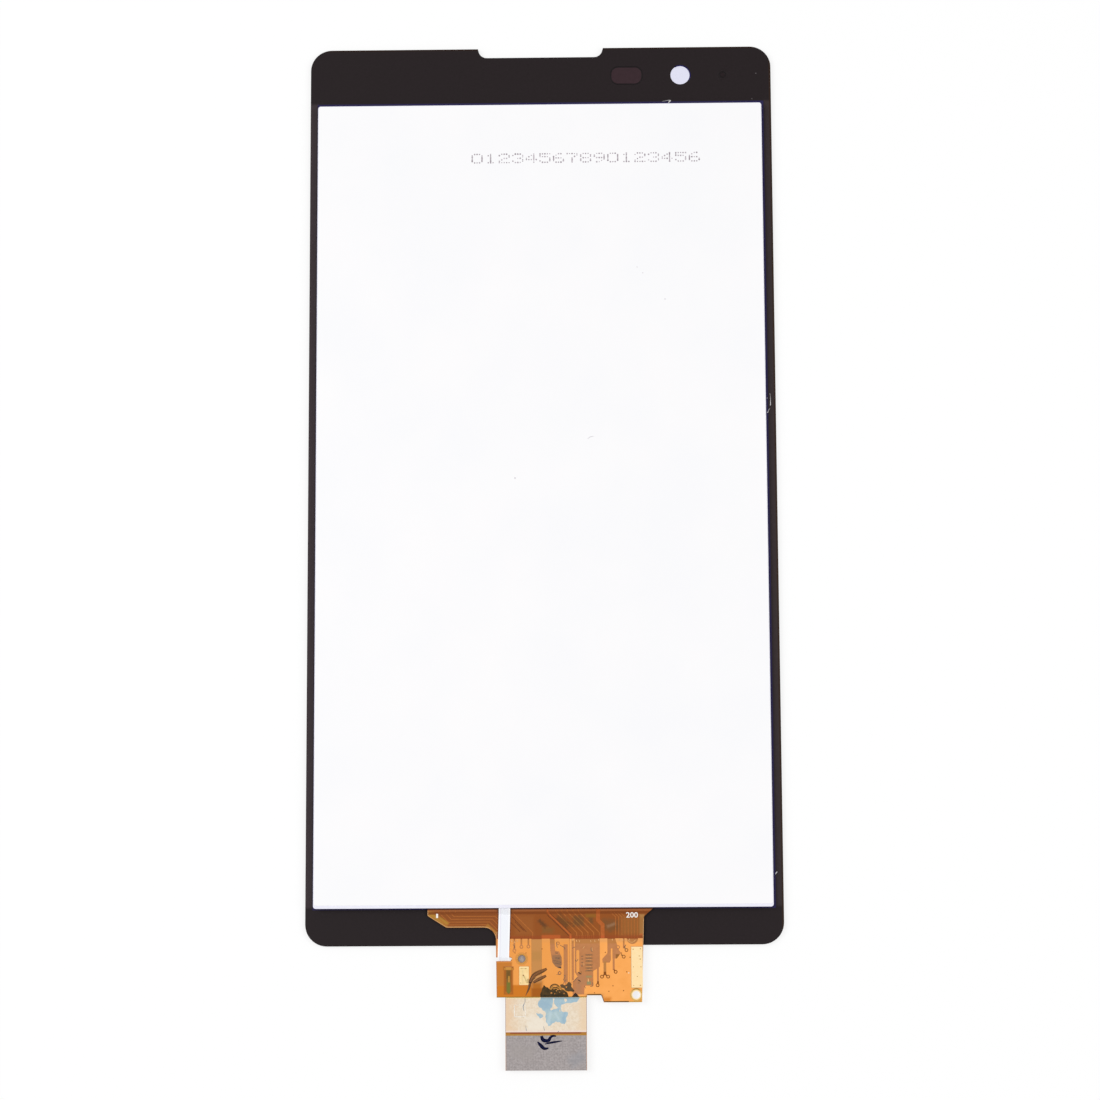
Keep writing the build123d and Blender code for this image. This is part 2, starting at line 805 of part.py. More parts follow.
straight_gaps = [
    ((3.18, -0.85), (3.18, -6.5), 0.6),
    ((4.24, -0.3), (4.24, -6.2), 0.34),
    ((9.05, -3.5), (9.05, -5.4), 0.4),
    ((10.37, -2.9), (10.37, -4.7), 0.3),
    ((10.37, -4.6), (10.66, -4.97), 0.2),
    ((9.05, -5.3), (8.6, -5.68), 0.2),
    ((9.05, -5.3), (9.52, -5.68), 0.2),
    ((3.18, -6.4), (2.99, -6.75), 0.2),
    ((11.5, -2.4), (11.88, -2.73), 0.2),
    ((11.9, 0), (11.9, -1.5), 0.24),
    ((8.0, -4.2), (8.0, -6.7), 0.28),
]
hooks = [(-4.5, 1.7), (-3.45, 1.15), (-2.4, 1.1)]
via_rings = [
    (-4.5, -1.75),
    (-3.45, -1.2),
    (-2.4, -1.15),
    (2.03, -0.7),
    (2.25, -5.12),
    (2.99, -6.75),
    (8.6, -5.68),
    (9.52, -5.68),
    (10.66, -4.97),
    (7.94, -6.94),
    (11.05, -1.3),
    (11.88, -2.73),
    (12.3, -1.75),
]
via_clear_radius = via_pad_radius + via_ring_width
with BuildPart() as ground_copper:
    with BuildSketch(copper_plane):
        with BuildLine():
            Polyline(*board_corners(copper_edge_margin), close=True)
        make_face()
        # Gaps with a shape of their own
        for gap_corners in (bulb_gap, signal_area, right_area):
            with BuildLine():
                Polyline(*gap_corners, close=True)
            make_face(mode=Mode.SUBTRACT)
        with Locations((bus_gap_x, -bus_gap_length / 2)):
            Rectangle(bus_gap_width, bus_gap_length, mode=Mode.SUBTRACT)
        # Straight gaps, the hooks at the top edge and the gap round the long stripe
        for gap_start, gap_end, gap_width in straight_gaps:
            with BuildLine():
                Line(gap_start, gap_end)
            trace(line_width=gap_width, mode=Mode.SUBTRACT)
        for hook_x, hook_length in hooks:
            with Locations((hook_x, -hook_length / 2)):
                Rectangle(hook_width, hook_length, mode=Mode.SUBTRACT)
        stripe_x = stripe_trace_x + stripe_shift
        with Locations((stripe_x, -stripe_length / 2)):
            Rectangle(
                stripe_trace_width + 2 * pad_gap, stripe_length + 2 * pad_gap, mode=Mode.SUBTRACT
            )
        with Locations((arc_gap_x, 0)):
            Circle(arc_gap_radius, mode=Mode.SUBTRACT)
        # Slot window with its cross bar and pointed foot
        slot_window_end = slot_window_drop + slot_window_length
        with BuildLine():
            Polyline(
                (slot_window_x - slot_window_width / 2, -slot_window_drop),
                (slot_window_x + slot_window_width / 2, -slot_window_drop),
                (slot_window_x + slot_window_width / 2, slot_window_point - slot_window_end),
                (slot_window_x, -slot_window_end),
                (slot_window_x - slot_window_width / 2, slot_window_point - slot_window_end),
                close=True,
            )
        make_face(mode=Mode.SUBTRACT)
        with Locations((slot_window_x, -slot_window_drop)):
            SlotOverall(
                slot_window_width + 2 * slot_bar_overhang, slot_bar_width, mode=Mode.SUBTRACT
            )
        # Clear rings round the vias
        with Locations(via_rings):
            Circle(via_clear_radius, mode=Mode.SUBTRACT)
            Circle(via_pad_radius)
        # Room for the slit, the peg holes and the plated pads
        with Locations((board_left_x, -slit_middle_drop)):
            SlotOverall(
                2 * (slit_length + copper_edge_margin),
                slit_width + 2 * copper_edge_margin,
                mode=Mode.SUBTRACT,
            )
        with Locations(peg_holes):
            Circle(peg_ring_radius + copper_edge_margin, mode=Mode.SUBTRACT)
        with Locations((test_pad_x, -test_pad_drop - test_pad_length / 2)):
            Rectangle(
                test_pad_width + 2 * pad_gap, test_pad_length + 2 * pad_gap, mode=Mode.SUBTRACT
            )
        with Locations((shield_pad_x, -shield_pad_drop - shield_pad_length / 2)):
            Rectangle(
                shield_pad_width + 2 * pad_gap, shield_pad_length + 2 * pad_gap, mode=Mode.SUBTRACT
            )
    extrude(amount=copper_thickness)
ground_copper.part.label = "ground_copper"
export_step(ground_copper.part, "parts/ground_copper.step")

# Small conductors that stand in the signal areas: a ladder of bars, two solder pads, a strap
# and two slanting bars
solder_pads = [(6.64, 5.66, 0.87, 0.31), (6.64, 6.6, 0.62, 0.5)]
slanting_bars = [(5.4, -5.15), (5.2, -6.45)]
slanting_bar_length = 0.62
bar_slant = 55
with BuildPart() as board_traces:
    with BuildSketch(copper_plane):
        for bar_index in range(ladder_count):
            with Locations((ladder_x, -ladder_drop - bar_index * ladder_pitch)):
                Rectangle(ladder_width, ladder_bar)
        for pad_x, pad_drop, pad_width, pad_length in solder_pads:
            with Locations((pad_x, -pad_drop)):
                Rectangle(pad_width, pad_length)
        with Locations((strap_x, -strap_drop)):
            SlotOverall(strap_length, strap_width, rotation=90)
        with Locations([Location(place, bar_slant) for place in slanting_bars]):
            SlotOverall(slanting_bar_length, ladder_bar)
    extrude(amount=copper_thickness)
board_traces.part.label = "board_traces"
export_step(board_traces.part, "parts/board_traces.step")

# Gold plated pads: the ground land at the right edge, the test land and the ring of the peg hole
with BuildPart() as shield_pad:
    with BuildSketch(copper_plane):
        with Locations((shield_pad_x, -shield_pad_drop - shield_pad_length / 2)):
            Rectangle(shield_pad_width, shield_pad_length)
    extrude(amount=copper_thickness)
shield_pad.part.label = "shield_pad"
export_step(shield_pad.part, "parts/shield_pad.step")

with BuildPart() as test_pad:
    with BuildSketch(copper_plane):
        with Locations((test_pad_x, -test_pad_drop - test_pad_length / 2)):
            RectangleRounded(test_pad_width, test_pad_length, 2 * pad_gap)
    extrude(amount=copper_thickness)
test_pad.part.label = "test_pad"
export_step(test_pad.part, "parts/test_pad.step")

with BuildPart() as peg_ring:
    with BuildSketch(copper_plane):
        with Locations(peg_holes[1]):
            Circle(peg_ring_radius)
            Circle(peg_hole_diameter / 2, mode=Mode.SUBTRACT)
    extrude(amount=copper_thickness)
peg_ring.part.label = "peg_ring"
export_step(peg_ring.part, "parts/peg_ring.step")

# Lower ply: it follows the board, leaves the pads of the lamp strip open at the left, and runs
# on below the board as the tail
with BuildPart() as tail_flex:
    with BuildSketch(Plane(origin=(0, board_top, tail_z))):
        with BuildLine():
            Polyline(*board_corners(ply_inset), close=True)
        make_face()
        window_left_x = board_left_x - flex_thickness
        with Locations(((window_left_x + ply_left_x) / 2, -ply_left_drop / 2)):
            Rectangle(ply_left_x - window_left_x, ply_left_drop, mode=Mode.SUBTRACT)
        with Locations((tail_x, -board_length - tail_length / 2 + ply_inset)):
            Rectangle(tail_width, tail_length + 2 * ply_inset)
        with Locations(peg_holes):
            Circle(peg_hole_diameter / 2, mode=Mode.SUBTRACT)
    extrude(amount=tail_flex_thickness)
tail_flex.part.label = "tail_flex"
export_step(tail_flex.part, "parts/tail_flex.step")

# Sheet that bonds the two plies, cut back round the liner
liner_width = tail_width - 2 * liner_side_margin
with BuildPart() as bond_sheet:
    with BuildSketch(Plane(origin=(0, board_top, bond_z))):
        with BuildLine():
            Polyline(*board_corners(ply_inset), close=True)
        make_face()
        with Locations(((window_left_x + ply_left_x) / 2, -ply_left_drop / 2)):
            Rectangle(ply_left_x - window_left_x, ply_left_drop, mode=Mode.SUBTRACT)
        bond_cut_top = liner_top_drop - bond_liner_gap
        with Locations((tail_x, -(bond_cut_top + foot_drop) / 2)):
            Rectangle(
                liner_width + 2 * bond_liner_gap, foot_drop - bond_cut_top, mode=Mode.SUBTRACT
            )
        with Locations(peg_holes):
            Circle(peg_hole_diameter / 2, mode=Mode.SUBTRACT)
    extrude(amount=bond_thickness)
bond_sheet.part.label = "bond_sheet"
export_step(bond_sheet.part, "parts/bond_sheet.step")

# Adhesive on the tail, and the cream release liner that still covers it
liner_plane_y = board_top - (liner_top_drop + board_length + liner_length) / 2
liner_full_length = board_length + liner_length - liner_top_drop
with BuildPart() as liner_adhesive:
    with BuildSketch(Plane(origin=(tail_x, liner_plane_y, bond_z))):
        Rectangle(liner_width, liner_full_length)
    extrude(amount=liner_adhesive_thickness)
liner_adhesive.part.label = "liner_adhesive"
export_step(liner_adhesive.part, "parts/liner_adhesive.step")

with BuildPart() as release_liner:
    with BuildSketch(Plane(origin=(tail_x, liner_plane_y, bond_z + liner_adhesive_thickness))):
        Rectangle(liner_width, liner_full_length)
    extrude(amount=liner_thickness)
release_liner.part.label = "release_liner"
export_step(release_liner.part, "parts/release_liner.step")

# Grey shielding sheet that stiffens the end of the tail above the connector
shield_length = tail_length - liner_length - shield_gap
tail_bottom = board_bottom - tail_length
with BuildPart() as tail_shield:
    with BuildSketch(Plane(origin=(tail_x, tail_bottom + shield_length / 2, bond_z))):
        Rectangle(tail_width, shield_length)
    extrude(amount=shield_thickness)
tail_shield.part.label = "tail_shield"
export_step(tail_shield.part, "parts/tail_shield.step")

# Grey shielding patch under the plies, which shows through the left peg hole
with BuildPart() as hole_shield:
    with BuildSketch(Plane(origin=(0, board_top, tail_z))):
        with Locations(peg_holes[0]):
            Rectangle(hole_shield_width, hole_shield_length)
    extrude(amount=-shield_thickness)
hole_shield.part.label = "hole_shield"
export_step(hole_shield.part, "parts/hole_shield.step")

# Connector housing: a low moulded block with a well down its middle, opening to the front
connector_y = tail_bottom + connector_from_end
with BuildPart() as connector_housing:
    with BuildSketch(Plane(origin=(tail_x, connector_y, tail_z))):
        Rectangle(connector_length, connector_width)
    extrude(amount=-connector_height)
    fillet(edges().filter_by(Axis.Z), connector_edge_radius)
    with BuildSketch(Plane(origin=(tail_x, connector_y, tail_z - connector_height))):
        Rectangle(
            connector_length - 2 * anchor_width, connector_width - 2 * connector_wall
        )
    extrude(amount=connector_well_depth, mode=Mode.SUBTRACT)
connector_housing.part.label = "connector_housing"
export_step(connector_housing.part, "parts/connector_housing.step")

# Two rows of bent contacts: a foot on the tail and a blade down the outside of the wall
contact_row_length = (contact_count - 1) * contact_pitch
for row_name, row_side in (("contact_row_upper", 1), ("contact_row_lower", -1)):
    wall_y = connector_y + row_side * connector_width / 2
    with BuildPart() as contact_row:
        for contact_index in range(contact_count):
            contact_x = tail_x - contact_row_length / 2 + contact_index * contact_pitch
            contact_plane = Plane(
                origin=(contact_x, wall_y, tail_z), x_dir=(0, row_side, 0), z_dir=(row_side, 0, 0)
            )
            with BuildSketch(contact_plane):
                with BuildLine():
                    Polyline(
                        (0, 0),
                        (contact_foot, 0),
                        (contact_foot, -contact_thickness),
                        (contact_thickness, -contact_thickness),
                        (contact_thickness, -contact_lap),
                        (0, -contact_lap),
                        close=True,
                    )
                make_face()
            extrude(amount=contact_width / 2, both=True)
    contact_row.part.label = row_name
    export_step(contact_row.part, f"parts/{row_name}.step")

# Metal anchors at the two ends of the connector: a blade on the end wall and a soldered foot
for anchor_name, anchor_side in (("anchor_left", -1), ("anchor_right", 1)):
    end_x = tail_x + anchor_side * connector_length / 2
    anchor_plane = Plane(
        origin=(end_x, connector_y, tail_z), x_dir=(anchor_side, 0, 0), z_dir=(0, -anchor_side, 0)
    )
    with BuildPart() as anchor:
        with BuildSketch(anchor_plane):
            with BuildLine():
                Polyline(
                    (0, 0),
                    (anchor_foot, 0),
                    (anchor_foot, -anchor_thickness),
                    (anchor_thickness, -anchor_thickness),
                    (anchor_thickness, -connector_height / 2),
                    (0, -connector_height / 2),
                    close=True,
                )
            make_face()
        extrude(amount=anchor_width / 2, both=True)
    anchor.part.label = anchor_name
    export_step(anchor.part, f"parts/{anchor_name}.step")

# Power inductor: two flanges and a waist
with BuildPart() as inductor:
    with BuildSketch(Plane(origin=(inductor_x, board_top - inductor_drop, tail_z))):
        Rectangle(inductor_width, inductor_length)
    extrude(amount=-inductor_height)
    waist_plane = Plane(
        origin=(inductor_x, board_top - inductor_drop, tail_z - inductor_height / 2)
    )
    with BuildSketch(waist_plane):
        Rectangle(2 * inductor_width, 2 * inductor_length)
        Rectangle(
            inductor_width - 2 * inductor_waist,
            inductor_length - 2 * inductor_waist,
            mode=Mode.SUBTRACT,
        )
    extrude(amount=inductor_height / 2 - inductor_flange, both=True, mode=Mode.SUBTRACT)
inductor.part.label = "inductor"
export_step(inductor.part, "parts/inductor.step")

# Regulator chip with a row of pins on each long side
with BuildPart() as regulator_chip:
    with BuildSketch(Plane(origin=(regulator_x, board_top - regulator_drop, tail_z))):
        Rectangle(regulator_width, regulator_length)
    extrude(amount=-regulator_height)
    with BuildSketch(Plane(origin=(regulator_x, board_top - regulator_drop, tail_z))):
        with GridLocations(1, regulator_pin_pitch, 1, regulator_pin_count):
            Rectangle(regulator_width + 2 * regulator_pin_reach, regulator_pin_width)
    extrude(amount=-regulator_pin_thickness)
regulator_chip.part.label = "regulator_chip"
export_step(regulator_chip.part, "parts/regulator_chip.step")

# Chip capacitors: a ceramic body with a thicker metal cap at each end
for capacitor_index, (capacitor_x, capacitor_drop) in enumerate(capacitor_places):
    capacitor_plane = Plane(origin=(capacitor_x, board_top - capacitor_drop, tail_z))
    with BuildPart() as capacitor:
        with BuildSketch(capacitor_plane):
            with GridLocations(1, capacitor_length - capacitor_end, 1, 2):
                Rectangle(capacitor_width, capacitor_end)
        extrude(amount=-capacitor_height)
        with BuildSketch(capacitor_plane):
            Rectangle(capacitor_width - 2 * capacitor_end_step, capacitor_length - capacitor_end)
        extrude(amount=capacitor_end_step - capacitor_height)
    capacitor_name = f"capacitor_{capacitor_index + 1}"
    capacitor.part.label = capacitor_name
    export_step(capacitor.part, f"parts/{capacitor_name}.step")
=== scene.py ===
"""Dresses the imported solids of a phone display, lying on its glass, for a picture of its rear.

Sizes are millimetres in the part's own frame, and turn to metres where a mesh is made.
"""

import logging
import math
from collections.abc import Sequence
from dataclasses import dataclass
from enum import Enum
from functools import cache

import bmesh
import bpy
from mathutils import Matrix, Vector


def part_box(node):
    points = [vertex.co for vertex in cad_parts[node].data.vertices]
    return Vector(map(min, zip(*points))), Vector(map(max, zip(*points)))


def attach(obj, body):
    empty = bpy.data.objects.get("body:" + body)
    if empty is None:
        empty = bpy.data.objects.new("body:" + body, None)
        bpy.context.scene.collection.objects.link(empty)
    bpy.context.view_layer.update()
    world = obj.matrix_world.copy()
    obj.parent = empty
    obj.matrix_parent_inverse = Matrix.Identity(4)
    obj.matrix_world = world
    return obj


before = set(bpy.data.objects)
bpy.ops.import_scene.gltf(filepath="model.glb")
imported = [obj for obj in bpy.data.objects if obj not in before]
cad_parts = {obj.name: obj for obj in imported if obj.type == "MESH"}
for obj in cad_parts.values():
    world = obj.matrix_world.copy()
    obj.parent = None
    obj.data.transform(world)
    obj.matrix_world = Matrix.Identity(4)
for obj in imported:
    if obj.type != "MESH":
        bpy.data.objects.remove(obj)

LOG = logging.getLogger("phone_display")
MM = 0.001
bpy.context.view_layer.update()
# Heights in mm of a mark that only colours its face, of a thin ink and of a thick one
FLUSH, THIN, THICK = 0.003, 0.004, 0.006
# Points of a quarter circle in a line, and the gap in mm over which a seam closes
CORNER_STEPS = 8
CLOSE_GAP = 0.0005

# Rows of dots of the digits nought to nine, from the top down
DOT_DIGITS = (
    "-ooo- o---o o---o o---o o---o o---o -ooo-",
    "--o-- -oo-- --o-- --o-- --o-- --o-- -ooo-",
    "-ooo- o---o ----o --oo- -o--- o---- ooooo",
    "-ooo- o---o ----o --oo- ----o o---o -ooo-",
    "---o- --oo- -o-o- o--o- ooooo ---o- ---o-",
    "ooooo o---- oooo- ----o ----o o---o -ooo-",
    "--oo- -o--- o---- oooo- o---o o---o -ooo-",
    "ooooo ----o ---o- --o-- --o-- --o-- --o--",
    "-ooo- o---o o---o -ooo- o---o o---o -ooo-",
    "-ooo- o---o o---o -oooo ----o ---o- -oo--",
)

Point = tuple[float, float]
Place = tuple[float, float, float]
# A line on a face: x, y and its width there at each point, all in mm
Line = tuple[tuple[float, float, float], ...]
Colour = tuple[float, float, float, float]
Socket, Tree = bpy.types.NodeSocket, bpy.types.NodeTree
MATH, VECTOR_MATH, RANGE = "ShaderNodeMath", "ShaderNodeVectorMath", "ShaderNodeMapRange"
MIX_SHADER = "ShaderNodeMixShader"


def linear(hex_code: str) -> Colour:
    """Turns an sRGB hex value into Blender's linear colour.

    Args:
        hex_code: Six hex digits after a number sign.

    Returns:
        Red, green, blue and an alpha of one, in linear light.
    """
    channels = [int(hex_code[place : place + 2], 16) / 255 for place in (1, 3, 5)]
    bent = [c / 12.92 if c <= 0.04045 else ((c + 0.055) / 1.055) ** 2.4 for c in channels]
    return (bent[0], bent[1], bent[2], 1.0)


def add_node(
    tree: Tree, kind: str, inputs: dict[str | int, object] | None = None, **settings: object
) -> bpy.types.Node:
    """Adds a node with its settings, input values and links.

    Args:
        tree: The tree that the node goes into.
        kind: Blender's name for the kind of node.
        inputs: Socket name or place against a value, or against the output or the node, by its
            first output, that feeds it.
        **settings: Properties of the node itself.

    Returns:
        The new node.
    """
    node = tree.nodes.new(kind)
    for key, value in settings.items():
        setattr(node, key, value)
    for key, value in (inputs or {}).items():
        if isinstance(value, bpy.types.Node):
            value = value.outputs[0]
        if isinstance(value, Socket):
            tree.links.new(value, node.inputs[key])
        else:
            node.inputs[key].default_value = value
    return node


def cleared(owner: bpy.types.Material | bpy.types.World) -> Tree:
    """Empties the node tree of a material or a world.

    Args:
        owner: The material or world.

    Returns:
        Its tree.
    """
    owner.use_nodes = True
    owner.node_tree.nodes.clear()
    return owner.node_tree


@dataclass(frozen=True)
class Zone:
    """A rectangle of another colour on a surface, with soft edges.

    Attributes:
        left: Lower x in mm.
        right: Higher x in mm.
        bottom: Lower y in mm.
        top: Higher y in mm.
        colour: Its sRGB hex value.
        soft: Width in mm over which its edge fades.
        share: How much of the colour covers what lies under it.
        turn: Angle in degrees by which it is turned about its centre.
        wave: How far in mm its edges wander, as a stain's do.
    """

    left: float
    right: float
    bottom: float
    top: float
    colour: str
    soft: float = 0.05
    share: float = 1.0
    turn: float = 0.0
    wave: float = 0.0

    def paint(self, tree: Tree, place: Socket, under: Socket) -> Socket:
        """Lays the zone over a colour.

        Args:
            tree: The material's tree.
            place: Object coordinates in metres.
            under: The colour that lies under the zone.

        Returns:
            Both colours.
        """
        if self.wave:
            place = self.wander(tree, place)
        middle = ((self.left + self.right) / 2 * MM, (self.bottom + self.top) / 2 * MM, 0)
        half = ((self.right - self.left) / 2 * MM, (self.top - self.bottom) / 2 * MM, 0)
        centred = add_node(tree, VECTOR_MATH, {0: place, 1: middle}, operation="SUBTRACT")
        angle = {"Vector": centred, "Angle": -math.radians(self.turn)}
        turned = add_node(tree, "ShaderNodeVectorRotate", angle, rotation_type="Z_AXIS")
        folded = add_node(tree, VECTOR_MATH, {0: turned}, operation="ABSOLUTE")
        beyond = add_node(tree, VECTOR_MATH, {0: folded, 1: half}, operation="SUBTRACT")
        parts = add_node(tree, "ShaderNodeSeparateXYZ", {0: beyond}).outputs
        reach = add_node(tree, MATH, {0: parts["X"], 1: parts["Y"]}, operation="MAXIMUM")
        fade = self.soft / 2 * MM
        ends = {"Value": reach, "From Min": -fade, "From Max": fade}
        ends |= {"To Min": self.share, "To Max": 0.0}
        mask = add_node(tree, RANGE, ends, interpolation_type="SMOOTHSTEP")
        layers = {0: mask, 6: under, 7: linear(self.colour)}
        return add_node(tree, "ShaderNodeMix", layers, data_type="RGBA").outputs[2]

    def wander(self, tree: Tree, place: Socket) -> Socket:
        """Shifts coordinates by a noise, so that the zone's edges wander.

        Args:
            tree: The material's tree.
            place: Object coordinates in metres.

        Returns:
            The shifted coordinates.
        """
        grain, reach = 3 * self.wave * MM, 8 * self.wave * MM
        inputs = {"Vector": place, "Scale": 1 / grain, "Detail": 2.0}
        noise = add_node(tree, "ShaderNodeTexNoise", inputs).outputs["Color"]
        ends = {0: noise, 1: (reach, reach, 0), 2: (-reach / 2, -reach / 2, 0)}
        shift = add_node(tree, VECTOR_MATH, ends, operation="MULTIPLY_ADD")
        return add_node(tree, VECTOR_MATH, {0: place, 1: shift}, operation="ADD").outputs[0]


@dataclass(frozen=True)
class Finish:
    """A solid surface with two tones, one grain, a relief and painted zones.

    Attributes:
        name: The material's name, after what it is.
        colour: Main sRGB hex value.
        tone: Second hex value, that the grain brings in.
        grain: Size of the grain in mm.
        spread: Share of the second tone where the grain is strongest.
        roughness: Lowest roughness.
        rough_spread: How much the grain adds to the roughness.
        relief: Height of the grain's relief in mm.
        metallic: Metallic value.
        coat: Weight of a clear coat over it.
        gloss: Specular level, lower where a surface scatters what it would mirror.
        stretch: How many times longer the grain is along x than along y.
        zones: Rectangles of other colours on it.
    """

    name: str
    colour: str
    tone: str
    grain: float = 0.5
    spread: float = 0.5
    roughness: float = 0.5
    rough_spread: float = 0.1
    relief: float = 0.0
    metallic: float = 0.0
    coat: float = 0.0
    gloss: float = 0.5
    stretch: float = 1.0
    zones: tuple[Zone, ...] = ()

    @cache
    def build(self) -> bpy.types.Material:
        """Makes the material once and gives it each time.

        Returns:
            The material.
        """
        material = bpy.data.materials.new(self.name)
        tree = cleared(material)
        place = add_node(tree, "ShaderNodeTexCoord").outputs["Object"]
        grain = self.grain_pattern(tree, place)
        ends = {"Value": grain, "From Min": 0.3, "From Max": 0.7, "To Max": self.spread}
        tones = {0: add_node(tree, RANGE, ends), 6: linear(self.colour), 7: linear(self.tone)}
        colour = add_node(tree, "ShaderNodeMix", tones, data_type="RGBA").outputs[2]
        for zone in self.zones:
            colour = zone.paint(tree, place, colour)
        roughest = self.roughness + self.rough_spread
        ends = {"Value": grain, "To Min": self.roughness, "To Max": roughest}
        sockets: dict[str | int, object] = {
            "Base Color": colour,
            "Roughness": add_node(tree, RANGE, ends),
            "Metallic": self.metallic,
            "Coat Weight": self.coat,
            "Coat Roughness": 0.12,
            "Specular IOR Level": self.gloss,
        }
        if self.relief:
            relief = {"Height": grain, "Distance": self.relief * MM, "Strength": 1.0}
            sockets["Normal"] = add_node(tree, "ShaderNodeBump", relief)
        shader = add_node(tree, "ShaderNodeBsdfPrincipled", sockets)
        add_node(tree, "ShaderNodeOutputMaterial", {"Surface": shader})
        return material

    def grain_pattern(self, tree: Tree, place: Socket) -> Socket:
        """Makes the grain, a noise of the finish's own size.

        Args:
            tree: The material's tree.
            place: Object coordinates in metres.

        Returns:
            A value around one half.
        """
        per_metre = 1 / (self.grain * MM)
        sizes = {"Vector": place, "Scale": (per_metre / self.stretch, per_metre, per_metre)}
        scaled = add_node(tree, "ShaderNodeMapping", sizes)
        noise = {"Vector": scaled, "Scale": 1.0, "Detail": 3.0, "Roughness": 0.55}
        return add_node(tree, "ShaderNodeTexNoise", noise).outputs[0]


@dataclass(frozen=True)
class WovenFinish(Finish):
    """A shielding cloth: the grain of fine threads that cross at right angles.

    Attributes:
        thread: Spacing of the threads in mm.
        thread_share: How much the threads add to the grain.
    """

    thread: float = 0.12
    thread_share: float = 0.12

    def grain_pattern(self, tree: Tree, place: Socket) -> Socket:
        """Makes mottled grain with a thread pattern over it.

        Args:
            tree: The material's tree.
            place: Object coordinates in metres.

        Returns:
            A value around one half.
        """
        total, share = Finish.grain_pattern(self, tree, place), self.thread_share
        for axis in ("X", "Y"):
            # One wave of the texture is two pi twentieths of a unit at a scale of one
            waves = {"Vector": place, "Scale": math.pi / 10 / (self.thread * MM) / 2}
            threads = add_node(tree, "ShaderNodeTexWave", waves, bands_direction=axis)
            layers = {0: threads.outputs["Fac"], 1: share, 2: total}
            total = add_node(tree, MATH, layers, operation="MULTIPLY_ADD").outputs[0]
        return add_node(tree, MATH, {0: total, 1: share}, operation="SUBTRACT").outputs[0]


@dataclass(frozen=True)
class ClearFinish:
    """A clear sheet that light goes through, with faint smears on it.

    Attributes:
        name: The material's name.
        colour: sRGB hex value of the light that comes through.
        ior: Index of refraction.
        haze: Lowest roughness.
        smear: Size of the smears in mm.
        smear_share: How much the smears add to the roughness.
    """

    name: str
    colour: str
    ior: float = 1.5
    haze: float = 0.0
    smear: float = 9.0
    smear_share: float = 0.04

    @cache
    def build(self) -> bpy.types.Material:
        """Makes the material once and gives it each time.

        Returns:
            The material.
        """
        material = bpy.data.materials.new(self.name)
        tree = cleared(material)
        place = add_node(tree, "ShaderNodeTexCoord").outputs["Object"]
        smears = {"Vector": place, "Scale": 1 / (self.smear * MM), "Detail": 2.0}
        noise = add_node(tree, "ShaderNodeTexNoise", smears)
        ends = {"Value": noise, "To Min": self.haze, "To Max": self.haze + self.smear_share}
        sockets = {
            "Base Color": linear(self.colour),
            "Roughness": add_node(tree, RANGE, ends),
            "Transmission Weight": 1.0,
            "IOR": self.ior,
        }
        shader = add_node(tree, "ShaderNodeBsdfPrincipled", sockets)
        add_node(tree, "ShaderNodeOutputMaterial", {"Surface": shader})
        return material


class Carrier(Enum):
    """Nodes whose upper face carries print, ink or dirt."""

    BORDER = "border_ink"
    FILM = "reflector_film"
    CIRCUIT = "main_flex"
    COPPER = "ground_copper"
    RING = "peg_ring"
    LINER = "release_liner"
    SHIELD = "tail_shield"

    def top(self) -> float:
        """Height of the carrying face in mm."""
        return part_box(self.value)[1].z / MM


def dress(finish: Finish | ClearFinish, *nodes: str) -> None:
    """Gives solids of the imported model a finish.

    Args:
        finish: What they are made of.
        *nodes: Names of the nodes.
    """
    for node in nodes:
        paint(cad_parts[node].data, finish)
        LOG.info("%s: %s", node, finish.name)


def paint(mesh: bpy.types.Mesh, finish: Finish | ClearFinish) -> None:
    """Makes a finish the only one of a mesh."""
    mesh.materials.clear()
    mesh.materials.append(finish.build())


def linked(name: str, data: bpy.types.ID) -> bpy.types.Object:
    """Makes an object of some data and links it to the scene.

    Args:
        name: The object's name.
        data: Its mesh, curve, light or camera.

    Returns:
        The object.
    """
    made = bpy.data.objects.new(name, data)
    bpy.context.scene.collection.objects.link(made)
    return made


def new_piece(name: str, mesh: bpy.types.Mesh) -> None:
    """Puts a finished mesh into the scene as a piece of the object, at the origin.

    Args:
        name: The piece's name.
        mesh: Its mesh, in metres and in its place.
    """
    mesh.name = name
    piece = linked(name, mesh)
    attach(piece, "root")
    LOG.info("%s: %d faces", name, len(mesh.polygons))


def closed_mesh(source: bpy.types.Object, change: Matrix | None = None) -> bpy.types.Mesh:
    """Turns an object into a plain mesh with closed seams and outward faces, and removes it.

    Args:
        source: The object, a curve, a text or a mesh with live modifiers.
        change: What moves and scales the mesh before its seams are closed.

    Returns:
        The mesh.
    """
    graph = bpy.context.evaluated_depsgraph_get()
    mesh = bpy.data.meshes.new_from_object(source.evaluated_get(graph), depsgraph=graph)
    bpy.data.objects.remove(source)
    if change:
        mesh.transform(change)
    shape = bmesh.new()
    shape.from_mesh(mesh)
    bmesh.ops.remove_doubles(shape, verts=shape.verts, dist=CLOSE_GAP * MM)
    bmesh.ops.recalc_face_normals(shape, faces=shape.faces)
    shape.to_mesh(mesh)
    shape.free()
    return mesh


def start_group(name: str, inputs: dict[str, str]) -> tuple[Tree, bpy.types.NodeOutputs]:
    """Starts a Geometry Nodes tree that makes a print.

    Args:
        name: The tree's name.
        inputs: Label of each input against its kind.

    Returns:
        The tree and the outputs that give what goes in.
    """
    tree = bpy.data.node_groups.new(name, "GeometryNodeTree")
    for label, kind in inputs.items():
        tree.interface.new_socket(name=label, in_out="INPUT", socket_type="NodeSocket" + kind)
    tree.interface.new_socket(name="Print", in_out="OUTPUT", socket_type="NodeSocketGeometry")
    return tree, add_node(tree, "NodeGroupInput").outputs


